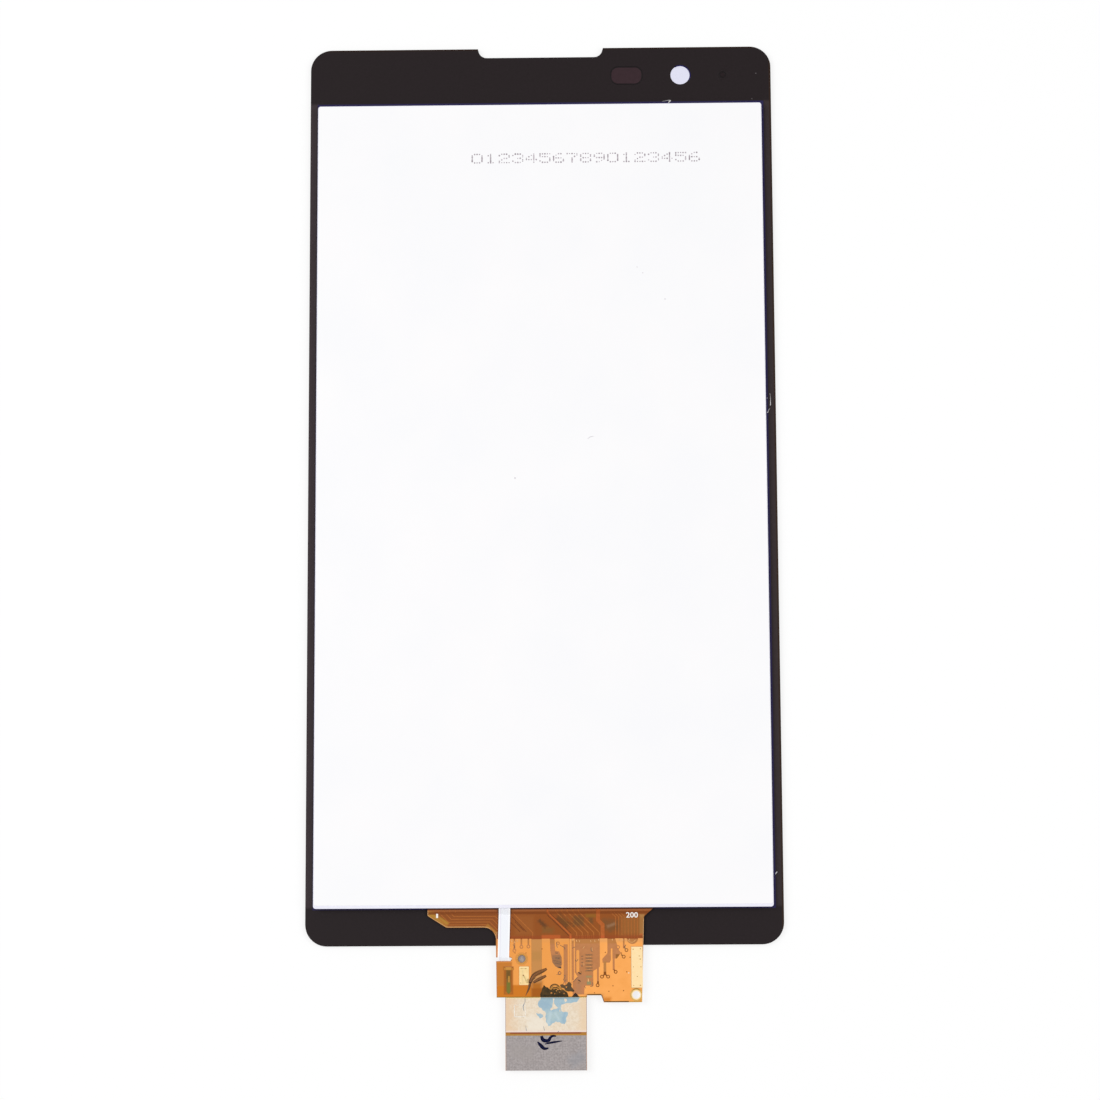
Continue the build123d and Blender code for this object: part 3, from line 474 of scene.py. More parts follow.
def end_group(tree: Tree, shapes: bpy.types.Node, finish: Socket) -> None:
    """Makes the shapes of a tree real, and gives them their finish.

    Args:
        tree: The tree.
        shapes: The node that makes them.
        finish: Their material.
    """
    real = add_node(tree, "GeometryNodeRealizeInstances", {0: shapes})
    inputs = {"Geometry": real, "Material": finish}
    dressed = add_node(tree, "GeometryNodeSetMaterial", inputs)
    add_node(tree, "NodeGroupOutput", {0: dressed})


def run_group(tree: Tree, mesh: bpy.types.Mesh, values: dict[str, object]) -> bpy.types.Mesh:
    """Runs a tree on a mesh.

    Args:
        tree: The tree.
        mesh: The points or lines that it starts from.
        values: Labels of its inputs against their values.

    Returns:
        The mesh that it makes.
    """
    source = linked(mesh.name + "_source", mesh)
    modifier = source.modifiers.new("print", "NODES")
    modifier.node_group = tree
    for item in tree.interface.items_tree:
        if item.name in values:
            modifier[item.identifier] = values[item.name]
    return closed_mesh(source)


@dataclass
class DotPrint:
    """Dots of one kind on a face, set out by Geometry Nodes.

    Attributes:
        radius: Radius of a dot in mm.
        height: Its height in mm.
        spread: Share by which the size of a dot varies.
        sides: Corners of a dot.
        seed: Seed of the varying sizes.
    """

    radius: float
    height: float = FLUSH
    spread: float = 0.15
    sides: int = 10
    seed: int = 3

    def tree(self, name: str) -> Tree:
        """Builds the node tree that puts a dot on each point.

        Args:
            name: The tree's name.

        Returns:
            The tree, with named inputs for its sizes.
        """
        kinds = {"Points": "Geometry", "Dot Radius": "Float", "Dot Height": "Float"}
        kinds |= {"Size Spread": "Float", "Corners": "Int", "Seed": "Int", "Finish": "Material"}
        tree, given = start_group(name, kinds)
        sizes = {"Radius": given["Dot Radius"], "Depth": given["Dot Height"]}
        sizes["Vertices"] = given["Corners"]
        dot = add_node(tree, "GeometryNodeMeshCylinder", sizes)
        shares = {0: 1.0, 1: given["Size Spread"]}
        low = add_node(tree, MATH, shares, operation="SUBTRACT")
        high = add_node(tree, MATH, shares, operation="ADD")
        ends = {2: low, 3: high, "Seed": given["Seed"]}
        size = add_node(tree, "FunctionNodeRandomValue", ends, data_type="FLOAT").outputs[1]
        scale = add_node(tree, "ShaderNodeCombineXYZ", {0: size, 1: size, 2: 1.0})
        inputs = {"Points": given["Points"], "Instance": dot, "Scale": scale}
        placed = add_node(tree, "GeometryNodeInstanceOnPoints", inputs)
        end_group(tree, placed, given["Finish"])
        return tree

    def lay(
        self, name: str, slot: str, places: Sequence[Point], carrier: Carrier, finish: Finish
    ) -> None:
        """Lays the dots on a face.

        Args:
            name: The piece's name.
            slot: The record's material slot; not used.
            places: Centres of the dots in mm.
            carrier: What carries them.
            finish: What they are made of.
        """
        mesh = bpy.data.meshes.new(name)
        middle = carrier.top() + self.height / 2
        mesh.from_pydata([(x * MM, y * MM, middle * MM) for x, y in places], [], [])
        values = {
            "Dot Radius": self.radius * MM,
            "Dot Height": self.height * MM,
            "Size Spread": self.spread,
            "Corners": self.sides,
            "Seed": self.seed,
            "Finish": finish.build(),
        }
        new_piece(name, run_group(self.tree(name + "_tree"), mesh, values))


def round_box(low: Point, high: Point, radius: float, width: float) -> Line:
    """Makes a closed line along a rectangle with round corners, or along a circle.

    Args:
        low: Lower left corner of the rectangle in mm.
        high: Upper right corner in mm.
        radius: Radius of the corners in mm, half the side for a circle.
        width: Width of the line in mm.

    Returns:
        The line.
    """
    right, top = high[0] - radius, high[1] - radius
    left, bottom = low[0] + radius, low[1] + radius
    points = []
    for corner, (x, y) in enumerate(((right, top), (left, top), (left, bottom), (right, bottom))):
        for step in range(CORNER_STEPS):
            angle = math.radians(90 * (corner + step / CORNER_STEPS))
            points.append((x + radius * math.cos(angle), y + radius * math.sin(angle), width))
    return (*points, points[0])


@dataclass
class RibbonPrint:
    """Flat ribbons along lines, made by Geometry Nodes.

    Attributes:
        height: Thickness of a ribbon in mm.
        smooth: Whether the ribbon rounds the points of its line.
        flatness: Thickness of the swept profile, as a share of its width.
        step: Length in mm between the cross sections of a ribbon.
    """

    height: float = THIN
    smooth: bool = True
    flatness: float = 0.05
    step: float = 0.12

    def tree(self, name: str) -> Tree:
        """Builds the node tree that turns edges into ribbons.

        Args:
            name: The tree's name.

        Returns:
            The tree, with named inputs for its sizes.
        """
        kinds = {"Lines": "Geometry", "Flatness": "Float", "Step": "Float", "Finish": "Material"}
        tree, given = start_group(name, kinds)
        label = {"Name": "stroke_width"}
        width = add_node(tree, "GeometryNodeInputNamedAttribute", label, data_type="FLOAT")
        line = add_node(tree, "GeometryNodeMeshToCurve", {0: given["Lines"]})
        if self.smooth:
            inputs, kind = {"Curve": line}, "CATMULL_ROM"
            line = add_node(tree, "GeometryNodeCurveSplineType", inputs, spline_type=kind)
        cuts = {"Curve": line, "Length": given["Step"]}
        even = add_node(tree, "GeometryNodeResampleCurve", cuts, mode="LENGTH")
        upright = add_node(tree, "GeometryNodeSetCurveNormal", {"Curve": even}, mode="Z_UP")
        sides = {"Width": 1.0, "Height": given["Flatness"]}
        profile = add_node(tree, "GeometryNodeCurvePrimitiveQuadrilateral", sides)
        sweep = {"Curve": upright, "Profile Curve": profile, "Scale": width, "Fill Caps": True}
        swept = add_node(tree, "GeometryNodeCurveToMesh", sweep)
        end_group(tree, swept, given["Finish"])
        return tree

    def lay(
        self, name: str, slot: str, lines: Sequence[Line], carrier: Carrier, finish: Finish
    ) -> None:
        """Lays the ribbons on a face.

        Args:
            name: The piece's name.
            slot: The record's material slot; not used.
            lines: The lines that the ribbons follow, closed where they end as they begin.
            carrier: What carries them.
            finish: What they are made of.
        """
        corners, edges, widths = [], [], []
        floor = carrier.top()
        middle = (floor + self.height / 2) * MM
        for line in lines:
            first, closed = len(corners), line[0] == line[-1]
            points = line[:-1] if closed else line
            corners += [(x * MM, y * MM, middle) for x, y, _ in points]
            widths += [width * MM for _, _, width in points]
            edges += [(place, place + 1) for place in range(first, len(corners) - 1)]
            if closed:
                edges.append((len(corners) - 1, first))
        mesh = bpy.data.meshes.new(name)
        mesh.from_pydata(corners, edges, [])
        mesh.attributes.new("stroke_width", "FLOAT", "POINT").data.foreach_set("value", widths)
        values = {"Flatness": self.flatness, "Step": self.step * MM, "Finish": finish.build()}
        ribbon = run_group(self.tree(name + "_tree"), mesh, values)
        for corner in ribbon.vertices:
            corner.co.z = (floor + self.height if corner.co.z > middle else floor) * MM
        new_piece(name, ribbon)


@dataclass
class InkPrint:
    """Flat patches on a face, such as a blot or a smudge.

    Attributes:
        outlines: Points of each outer line and of each hole's line in mm.
        height: Thickness in mm.
        smooth: Whether the lines round their points.
    """

    outlines: Sequence[Sequence[Point]]
    height: float = THIN
    smooth: bool = False

    def lay(self, name: str, slot: str, carrier: Carrier, finish: Finish) -> None:
        """Makes one piece of all patches.

        Args:
            name: The piece's name.
            slot: The record's material slot; not used.
            carrier: What carries them.
            finish: What they are made of.
        """
        curve = bpy.data.curves.new(name, "CURVE")
        curve.dimensions = "2D"
        curve.fill_mode = "BOTH"
        curve.extrude = self.height / 2
        for line in self.outlines:
            spline = curve.splines.new("BEZIER")
            spline.bezier_points.add(len(line) - 1)
            spline.use_cyclic_u = True
            spline.resolution_u = 5 if self.smooth else 1
            for point, (x, y) in zip(spline.bezier_points, line):
                point.co = (x, y, 0)
                kind = "AUTO" if self.smooth else "VECTOR"
                point.handle_left_type = point.handle_right_type = kind
        lift = Matrix.Translation((0, 0, carrier.top() + self.height / 2))
        mesh = closed_mesh(linked(name + "_outline", curve), Matrix.Scale(MM, 4) @ lift)
        paint(mesh, finish)
        new_piece(name, mesh)


@dataclass
class CoverGlass:
    """The front glass with the black print behind it and the windows in the print.

    Attributes:
        dust_places: Places of the flecks of dust in mm.
        dust_radius: Radius of a fleck in mm.
        rim_width: Width in mm of the line printed round a window.
        sensor_corner: Radius in mm of the corners of the sensor window.
        indicator_radius: Radius of the indicator window in mm.
        camera: Centre of the camera window in mm.
        fringe_radius: Radius in mm of the crescent beside the camera window.
        fringe_width: Width of the crescent in mm.
        indicator: Centre of the indicator window in mm.
        halo_radius: Radius in mm of the circle round the indicator window.
        halo_width: Width of that circle in mm.
        residue: Threads and crumbs of glue on the border.
    """

    dust_places: tuple[Point, ...] = ((33.71, 65.43), (33.03, 61.3))
    dust_radius: float = 0.06
    rim_width: float = 0.2
    sensor_corner: float = 1.2
    indicator_radius: float = 0.475
    camera: Point = (21.85, 65.2)
    fringe_radius: float = 1.58
    fringe_width: float = 0.18
    indicator: Point = (28.5, 65.2)
    halo_radius: float = 0.82
    halo_width: float = 0.12
    residue: tuple[Line, ...] = (
        ((18.97, 60.99, 0.02), (19.55, 61.13, 0.03), (20.24, 61.2, 0.07)),
        ((20.0, 60.8, 0.14), (20.32, 61.16, 0.18)),
        ((-17.35, -64.42, 0.1), (-17.0, -64.36, 0.22), (-16.7, -64.5, 0.1)),
        ((35.1, 14.4, 0.03), (35.18, 13.74, 0.05), (35.19, 13.17, 0.08), (35.16, 12.5, 0.14)),
        ((35.03, 12.03, 0.04), (34.79, 11.54, 0.08), (34.72, 11.32, 0.15)),
        ((34.6, 13.66, 0.08), (34.72, 13.64, 0.1)),
        ((34.8, -59.3, 0.05), (34.95, -59.05, 0.18), (35.1, -58.9, 0.05)),
    )

    def build(self) -> None:
        """Dresses the glass and its prints, and lays the dust and the glue left on the border."""
        # Float glass, polished: clear, and faintly violet where light comes through it
        dress(ClearFinish("polished_glass", "#E3E3F5"), "cover_glass")
        # Screen-printed ink, satin: the light spreads on it and shows a fine even grain
        zones = (
            # Painted light: both narrow side borders a little lighter, where the white module's
            # light spreads onto them
            Zone(34.9, 36.4, -64, 61, "#352B2C", soft=0.6),
            Zone(-36.4, -34.9, -64, 61, "#392F32", soft=0.6),
            Zone(35.7, 36.5, -70, 70, "#2E1A0A", soft=0.15, share=0.8),
            Zone(-37, 37, 69.5, 70.5, "#241004", soft=0.15, share=0.8),
            # Painted shade: a dark navy line in the gap along the module's edge
            Zone(-34.9, 34.8, -64.32, 60.98, "#26204E", soft=0.16),
        )
        ink = Finish(
            "screen_printed_ink", "#1B1214", "#20171A",
            grain=0.35, spread=0.8, relief=0.002, gloss=0.2, zones=zones,
        )
        dress(ink, "border_ink")
        # Infrared ink: dark violet, smoother than the border
        violet = Finish(
            "infrared_ink", "#312025", "#37242A", grain=0.5, spread=0.8, roughness=0.4, gloss=0.2
        )
        dress(violet, "sensor_window_ink")
        # Window ink: nearly the black of the border, and smoother
        dot = Finish("window_ink", "#1C1013", "#211518", grain=0.3, roughness=0.4, gloss=0.2)
        dress(dot, "indicator_window_ink")
        # Second pass of the black ink, which covers the joint round each window
        overprint = Finish("overprinted_ink", "#110A0D", "#170E11", grain=0.3, gloss=0.2)
        rims = [
            self.rim("sensor_window_ink", self.sensor_corner),
            self.rim("indicator_window_ink", self.indicator_radius),
        ]
        # Painted shade: a dark blue crescent beside the camera window; thinned ink, brown-black
        # round the indicator
        fringe = Finish("camera_fringe_shade", "#1A1258", "#161048", grain=0.3, gloss=0.2)
        (x, y), reach = self.camera, self.fringe_radius
        turns = [math.radians(angle) for angle in range(-30, 121, 15)]
        crescent = tuple(
            (x + reach * math.cos(turn), y + reach * math.sin(turn), self.fringe_width)
            for turn in turns
        )
        halo = Finish("indicator_halo_ink", "#1E1618", "#221A1C", grain=0.3, gloss=0.2)
        (x, y), reach = self.indicator, self.halo_radius
        ends = (x - reach, y - reach), (x + reach, y + reach)
        circle = round_box(*ends, reach, self.halo_width)
        for name, lines, finish in (
            ("window_rims", rims, overprint),
            ("window_fringes", [crescent], fringe),
            ("indicator_halo", [circle], halo),
        ):
            ribbon = RibbonPrint(THICK, smooth=False)
            ribbon.lay(name, "border_print", lines, Carrier.BORDER, finish)
        # Acrylic glue, cured clear
        dress(ClearFinish("cured_adhesive", "#F6F6F2", ior=1.47), "optical_adhesive")
        # House dust: pale grey flecks
        dust = Finish("dust", "#6E686A", "#8E8888", grain=0.1, roughness=0.9)
        flecks = DotPrint(self.dust_radius, height=0.01, spread=0.3, sides=7)
        flecks.lay("border_dust", "border_print", self.dust_places, Carrier.BORDER, dust)
        # Acrylic glue that stayed on the border: milky threads and crumbs
        glue = Finish("dried_adhesive", "#E9E7E6", "#BFBBBB", grain=0.3)
        thread = RibbonPrint(height=0.012)
        thread.lay("adhesive_residue", "border_print", self.residue, Carrier.BORDER, glue)

    def rim(self, window: str, radius: float) -> Line:
        """Makes the closed line along the edge of a window, with corners of the given radius."""
        low, high = (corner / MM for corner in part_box(window))
        return round_box(low.xy, high.xy, radius, self.rim_width)


@dataclass
class DisplayModule:
    """The panel, its backlight and the white film over its rear.

    Attributes:
        count_left: Place across in mm of the first digit's left dots.
        count_bottom: Place up in mm of the lowest dots.
        count_pitch: Distance in mm from one digit to the next.
        count_length: Number of digits.
        dot_step_across: Distance in mm between the columns of a digit.
        dot_step_up: Distance in mm between its rows.
        dot_radius: Radius of a printed dot in mm.
        speck_radius: Radius of a speck of dirt in mm.
        specks: Places of the specks in mm.
        film_line: The short line of dirt.
    """

    count_left: float = -10.65
    count_bottom: float = 50.95
    count_pitch: float = 2.11
    count_length: int = 17
    dot_step_across: float = 0.38
    dot_step_up: float = 0.225
    dot_radius: float = 0.118
    speck_radius: float = 0.1
    specks: tuple[Point, ...] = ((14.82, 34.14), (19.09, 29.04), (-4.15, 1.2), (15.7, 33.2))
    film_line: Line = ((7.0, 7.2, 0.03), (7.4, 7.5, 0.09), (8.0, 7.6, 0.03))

    def build(self) -> None:
        """Dresses the layers of the module and prints the rows of dots on its film."""
        # Voided polyester film: near white, with a soft sheen and a faint quilting
        film = Finish(
            "voided_polyester_film", "#FCFBFC", "#F9F9FB",
            grain=14.0, spread=1.0, roughness=0.42, rough_spread=0.08, relief=0.01, gloss=0.35,
        )
        dress(film, "reflector_film")
        # Polycarbonate, moulded white: a little cooler than the film
        white = Finish(
            "moulded_polycarbonate", "#F0EFFA", "#E7E6F5",
            grain=1.2, spread=0.6, roughness=0.4, relief=0.003,
        )
        dress(white, "backlight_frame")
        # Thin glass of the panel: clear, with a breath of green
        dress(ClearFinish("panel_glass", "#E8F1F0"), "colour_filter_glass", "tft_glass")
        # Polarising film, stretched: near black, with a shine
        polariser = Finish(
            "stretched_polariser", "#17181C", "#1B1C21",
            grain=3.0, roughness=0.14, coat=0.5, stretch=6,
        )
        dress(polariser, "front_polariser", "rear_polariser")
        # Foam tape: black and dull
        tape = Finish("foam_tape", "#161616", "#202020", grain=0.2, roughness=0.75, relief=0.004)
        dress(tape, "rim_tape")
        # Embossed polyester: fine prisms that brighten one way
        prism = Finish(
            "embossed_prism_film", "#DDE2E6", "#CBD3DA", grain=0.12, roughness=0.2, stretch=40
        )
        dress(prism, "upper_prism_film", "lower_prism_film")
        # Frosted polyester: pale and dull all over
        frosted = Finish("frosted_polyester", "#EEF0F0", "#E3E7E8", grain=0.1, roughness=0.8)
        dress(frosted, "diffuser_film")
        # Acrylic, moulded and polished: pale, with a clear shine
        acrylic = Finish(
            "moulded_acrylic", "#E3EAEC", "#D5E0E3", grain=0.6, roughness=0.1, coat=0.4
        )
        dress(acrylic, "light_guide")
        # Silicon, ground on its rear: blue-grey, with fine lines one way
        silicon = Finish(
            "ground_silicon", "#3A3B42", "#55565E", grain=0.06, roughness=0.3, stretch=12
        )
        dress(silicon, "driver_chip")
        # Phosphor in clear resin: pale yellow
        lamp = Finish("phosphor_lamp", "#EDE3B4", "#F2EDDA", grain=0.25)
        dress(lamp, *(f"led_{place:02d}" for place in range(1, 11)))
        self.print_rows()
        # Dirt rubbed into the film: faint grey specks and one short line
        dirt = Finish("rubbed_dirt", "#C9C5CB", "#E2DFE4", grain=0.2, roughness=0.8)
        specks = DotPrint(self.speck_radius, spread=0.4, sides=8, seed=2)
        specks.lay("film_specks", "reflector_film", self.specks, Carrier.FILM, dirt)
        RibbonPrint(FLUSH).lay("film_line", "reflector_film", [self.film_line], Carrier.FILM, dirt)

    def print_rows(self) -> None:
        """Prints a row of plain digits that only count, in the dots of an ink-jet printer."""
        # Ink-jet ink on film: grey dots, paler where the ink ran thin
        ink = Finish("ink_jet_ink", "#8E838B", "#C6BDC4", grain=0.5, spread=1.0, roughness=0.8)
        places = []
        for cell in range(self.count_length):
            left = self.count_left + cell * self.count_pitch
            for row, dots in enumerate(reversed(DOT_DIGITS[cell % 10].split())):
                height = self.count_bottom + row * self.dot_step_up
                places += [
                    (left + column * self.dot_step_across, height)
                    for column, dot in enumerate(dots)
                    if dot == "o"
                ]
        dots = DotPrint(self.dot_radius, spread=0.25, sides=8, seed=11)
        dots.lay("film_dot_print", "reflector_film", places, Carrier.FILM, ink)


@dataclass
class FlexBoard:
    """The upper ply of the flexible circuit with its copper, plating, print and the lamp strip.

    Attributes:
        left: Left end of the circuit in mm.
        right: Right end in mm.
        top: Upper end in mm.
        fold: Height in the picture at which the bend zone ends and the board begins.
        foot: Lower edge of the soaked ink.
        label_weight: How much bolder than its font a printed number is.
        tarnish: Width of the tarnish at the edge of the plated ring in mm.
        dash_rise: How far in mm the dark dashes stand over the other marks.
    """

    left: float = -18.0
    right: float = 17.5
    top: float = -62.0
    fold: float = -68.8
    foot: float = -77.4
    label_weight: float = 0.018
    tarnish: float = 0.12
    dash_rise: float = 0.002

    def build(self) -> None:
        """Dresses the board and lays its print, its vias, what shows through it and its dirt."""
        dress(self.base_film(), "main_flex")
        dress(self.line_film(), "bend_traces")
        dress(self.ground_film(), "ground_copper")
        dress(self.feed_film(), "feed_traces")
        dress(self.small_copper(), "board_traces")
        # Electroless gold over nickel: pale yellow, slightly grainy
        gold = Finish(
            "electroless_gold", "#FFE4B0", "#FFDB9E",
            grain=0.4, spread=0.7, roughness=0.38, relief=0.002, gloss=0.4,
        )
        dress(gold, "shield_pad", "peg_ring")
        zones = (
            Zone(-3.35, -3.2, -75.4, -73.4, "#D8C490", soft=0.3, share=0.6),
            Zone(-2.98, -2.8, -75.2, -74.2, "#B8A468", soft=0.15, share=0.7, turn=25, wave=0.03),
            Zone(-2.6, -2.3, -75.3, -74.7, "#9C7A3A", soft=0.2, share=0.7, wave=0.04),
        )
        land = Finish(
            "handled_gold", "#FFE1A4", "#F3CF8C",
            grain=0.5, spread=0.8, roughness=0.35, relief=0.002, gloss=0.4, zones=zones,
        )
        dress(land, "test_pad")
        # Polyester strip with white cover ink
        zones = (
            # Painted shade: the strip greyer across its middle and lilac along its left edge
            Zone(-6.66, -5.42, -72.5, -64, "#F4F6FB", soft=0.14, turn=-1.2),
            Zone(-6.7, -6.54, -72.0, -64, "#E6E3EF", soft=0.1, share=0.7, turn=-1.2),
        )
        strip = Finish(
            "white_cover_ink", "#FFFFFF", "#FDFDFF",
            grain=1.4, spread=0.7, roughness=0.45, relief=0.002, zones=zones,
        )
        dress(strip, "led_flex")
        self.print_labels()
        self.lay_vias()
        self.lay_margins()
        self.lay_joints()
        self.lay_stain()

    def bend_ends(self, line: str, share: float, foot: str) -> tuple[Zone, ...]:
        """Darkens both ends of the bend zone, on the film as on the copper under it.

        Args:
            line: Colour of the line along the bond.
            share: How much it covers.
            foot: Colour beside the board.

        Returns:
            The zones, the painted shade under the module's edge among them.
        """
        left, right = self.left, self.right
        return (
            Zone(left, right, -65.08, -64.7, line, soft=0.14, share=share),
            # Painted shade: dark red-brown where the circuit goes under the module's edge
            Zone(left, right, -64.36, self.top, "#3E1216", soft=0.12),
            Zone(left, right, self.fold, -68.3, foot, soft=0.25),
        )

    def base_film(self) -> Finish:
        """Amber polyimide over the bare base: dull brown, dark in the bend zone.

        Returns:
            The finish.
        """
        left, right, top, fold = self.left, self.right, self.top, self.fold
        zones = (
            Zone(left, right, -69.5, fold, "#B87A3C", soft=0.3, share=0.7),
            Zone(left, right, fold, top, "#944F18", soft=0.1),
            Zone(left, -7.3, fold, top, "#8C4C1C", soft=0.6, share=0.8),
            Zone(-17.9, -14.2, -66.0, -65.25, "#B4822E", soft=0.4, share=0.9, turn=-32),
            Zone(-17.8, -16.5, -65.4, -64.7, "#B4822E", soft=0.5, share=0.85, wave=0.06),
            Zone(-8.9, -7.0, -67.6, -67.1, "#BA8434", soft=0.35, share=0.85, turn=-42),
            Zone(-7.5, -7.0, -68.8, -67.8, "#B88A5A", soft=0.3, share=0.8),
            Zone(14.3, 15.0, -68.2, -65.2, "#B88A4E", soft=0.35, share=0.85),
            Zone(14.3, 14.75, -68.5, -68.0, "#CC5A28", soft=0.25, share=0.7),
            Zone(left, right, -64.64, top, "#AA6434", soft=0.2, share=0.8),
            *self.bend_ends("#80400E", 0.9, "#964818"),
            Zone(-0.4, 2.4, fold, -68.2, "#BE5C24", soft=0.2, share=0.8),
            # Soft dark smudges over the bend zone
            Zone(-1.0, 0.5, -66.75, -66.25, "#46341E", soft=0.6, share=0.7, turn=-45, wave=0.08),
            Zone(-0.4, 1.3, -67.9, -67.1, "#7E5A28", soft=0.7, share=0.6, wave=0.12),
            Zone(1.7, 3.9, -66.9, -65.7, "#4E3A1C", soft=0.9, share=0.6, turn=-40, wave=0.12),
            Zone(4.3, 5.9, -66.9, -65.4, "#564426", soft=0.7, share=0.6, wave=0.16),
            Zone(6.7, 7.3, -66.5, -65.6, "#5A4826", soft=0.5, share=0.65, wave=0.08),
            Zone(6.2, 7.8, -65.6, -65.1, "#94661C", soft=0.4, share=0.6),
            Zone(8.6, 11.4, -67.6, -66.0, "#6E4E2A", soft=0.9, share=0.6, wave=0.2),
            Zone(9.4, 10.7, -66.95, -66.6, "#B89474", soft=0.5, share=0.35, turn=20, wave=0.05),
            Zone(-4.4, -1.6, -68.2, -65.3, "#9E5C26", soft=0.8, share=0.6),
            Zone(11.5, 15.4, -68.2, -65.5, "#9C642C", soft=1.2, share=0.7),
            # Window over the lamp pads, with the green solder resist under it
            Zone(-6.1, -4.7, -77.0, -72.9, "#A4601C", soft=0.2),
            Zone(-5.72, -5.1, -77.0, -73.35, "#80602A", soft=0.2, share=0.9),
            Zone(-5.7, -5.12, -74.6, -73.5, "#6C4E1C", soft=0.3, share=0.7, wave=0.05),
            Zone(-5.64, -5.14, -76.85, -75.2, "#75762A", soft=0.25, share=0.85),
            # Painted highlight: a small yellow glint in the middle of the window
            Zone(-5.42, -5.24, -75.2, -74.3, "#D89C3C", soft=0.16, share=0.85, wave=0.03),
            Zone(-5.85, -4.95, -73.36, -72.95, "#CC8E3C", soft=0.1),
            # Clear ring round the plated hole: golden with painted light, dark with painted shade
            # where its upper edge shades it
            Zone(12.5, 14.9, -78.3, -75.9, "#E2AE58", soft=0.1),
            Zone(13.05, 14.4, -76.4, -75.9, "#8A6820", soft=0.3),
            Zone(-1.95, -0.38, -75.7, -68.85, "#C88B4C", soft=0.1),
            Zone(-1.95, -0.38, -72.0, -70.6, "#B88444", soft=0.8, share=0.6),
            # Painted shade in gaps that look dark because they are narrow
            Zone(8.3, 9.85, -74.7, -73.6, "#854A12", soft=0.2),
            Zone(8.85, 9.3, -73.7, -72.15, "#B97E44", soft=0.15),
            Zone(10.35, 11.05, -74.1, -73.35, "#854A12", soft=0.15),
            Zone(10.7, 12.2, -71.8, -71.1, "#96602A", soft=0.15),
            Zone(11.9, 12.8, -70.95, -69.9, "#96602A", soft=0.15),
            Zone(7.7, 8.4, -76.0, -75.1, "#854A12", soft=0.15),
            Zone(-7.4, 6.4, -77.6, -77.27, "#9C7422", soft=0.06),
            Zone(-4.5, -2.3, -72.8, -70.6, "#DC9448", soft=0.2),
            Zone(1.15, 2.6, -73.2, -71.2, "#8E6A4C", soft=0.3, share=0.7, wave=0.08),
            Zone(4.7, 6.2, -77.2, -74.2, "#B47E58", soft=0.6, share=0.6, wave=0.1),
            Zone(5.6, 6.3, -77.0, -75.6, "#D08050", soft=0.5, share=0.5, wave=0.1),
        )
        return Finish(
            "amber_polyimide", "#C48250", "#B87848",
            grain=0.5, spread=0.8, roughness=0.3, relief=0.001, gloss=0.25, zones=zones,
        )

    def line_film(self) -> Finish:
        """Copper lines under the film: a little lighter than the film between them.

        Returns:
            The finish.
        """
        zones = (
            *self.bend_ends("#8A4712", 0.9, "#A4521F"),
            Zone(-1.0, 0.5, -66.75, -66.25, "#5E4624", soft=0.6, share=0.6, turn=-45, wave=0.08),
            Zone(1.9, 3.9, -67.3, -65.4, "#5E461E", soft=0.8, share=0.55, wave=0.18),
            Zone(4.3, 5.9, -66.9, -65.4, "#685426", soft=0.7, share=0.55, wave=0.16),
            Zone(self.left, self.right, -69.6, self.fold, "#E9A158", soft=0.05),
        )
        return Finish(
            "filmed_copper_lines", "#AA6026", "#BA6E2E",
            grain=0.4, spread=0.9, roughness=0.3, gloss=0.25, zones=zones,
        )

    def feed_film(self) -> Finish:
        """Wide copper feeds under the film: red-orange in the bend zone, bright on the board.

        Returns:
            The finish.
        """
        zones = (
            *self.bend_ends("#96460F", 0.7, "#BE5A26"),
            Zone(self.left, self.right, -80, self.fold, "#EFA456", soft=0.05),
        )
        return Finish(
            "filmed_copper_feeds", "#AE5820", "#BC662A",
            grain=0.4, spread=0.8, roughness=0.3, gloss=0.25, zones=zones,
        )

    def small_copper(self) -> Finish:
        """Small bars and pads in the signal areas: dull brown, the strap bright.

        Returns:
            The finish.
        """
        zones = (
            Zone(4.6, 5.4, -73.95, -70.35, "#F0A252"),
            Zone(6.15, 7.15, -74.65, -74.2, "#A38A5A", soft=0.1),
            Zone(6.25, 7.05, -75.9, -75.1, "#978C62", soft=0.1),
        )
        return Finish(
            "filmed_small_copper", "#A5703F", "#B98050",
            grain=0.3, roughness=0.35, gloss=0.25, zones=zones,
        )

    def ground_film(self) -> Finish:
        """Copper plane under the film: bright orange, dark where the lower ply shows through.

        Returns:
            The finish.
        """
        zones = (
            Zone(self.left, self.right, -69.3, self.top, "#E0A060", soft=0.5, share=0.6),
            Zone(-8, 4.1, -77.6, -68.6, "#E89642", soft=1.5, share=0.6),
            Zone(-8, -0.38, -77.6, -75.6, "#D07818", soft=0.3),
            Zone(-8, -4.87, -75.7, -72.2, "#C87A2C", soft=0.3),
            Zone(-6.08, -4.72, -77.0, -73.1, "#9C5214", soft=0.3, share=0.85),
            Zone(-5.9, -4.9, -76.9, -73.3, "#BC701E", soft=0.3, share=0.8),
            Zone(-6.2, -4.6, -73.4, -72.85, "#A8681E", soft=0.1, share=0.8),
            Zone(-6.05, -4.75, -73.32, -72.95, "#CC8E3C", soft=0.1, share=0.9),
            Zone(-1.95, -0.38, -77.6, -68.75, "#CE9458", soft=0.06),
            Zone(-1.95, -0.38, -77.6, -75.2, "#B56A18", soft=0.9),
            Zone(-1.95, -0.38, -77.6, -76.1, "#A65A08", soft=0.4),
            Zone(13.9, 15.2, -78.3, -76.3, "#D98A3A", soft=1.0, share=0.6),
            Zone(8.7, 9.9, -78.2, -77.5, "#D07818", soft=0.6, share=0.8, wave=0.06),
            Zone(5.9, 8.9, -77.6, -76.9, "#E39A50", soft=0.5, share=0.7),
        )
        return Finish(
            "filmed_copper_plane", "#FFAE5C", "#F6A450",
            grain=1.6, spread=0.8, roughness=0.33, rough_spread=0.06, relief=0.0015, gloss=0.25,
            zones=zones,
        )

    def print_labels(self) -> None:
        """Prints plain pin numbers in white at the two ends of the bond."""
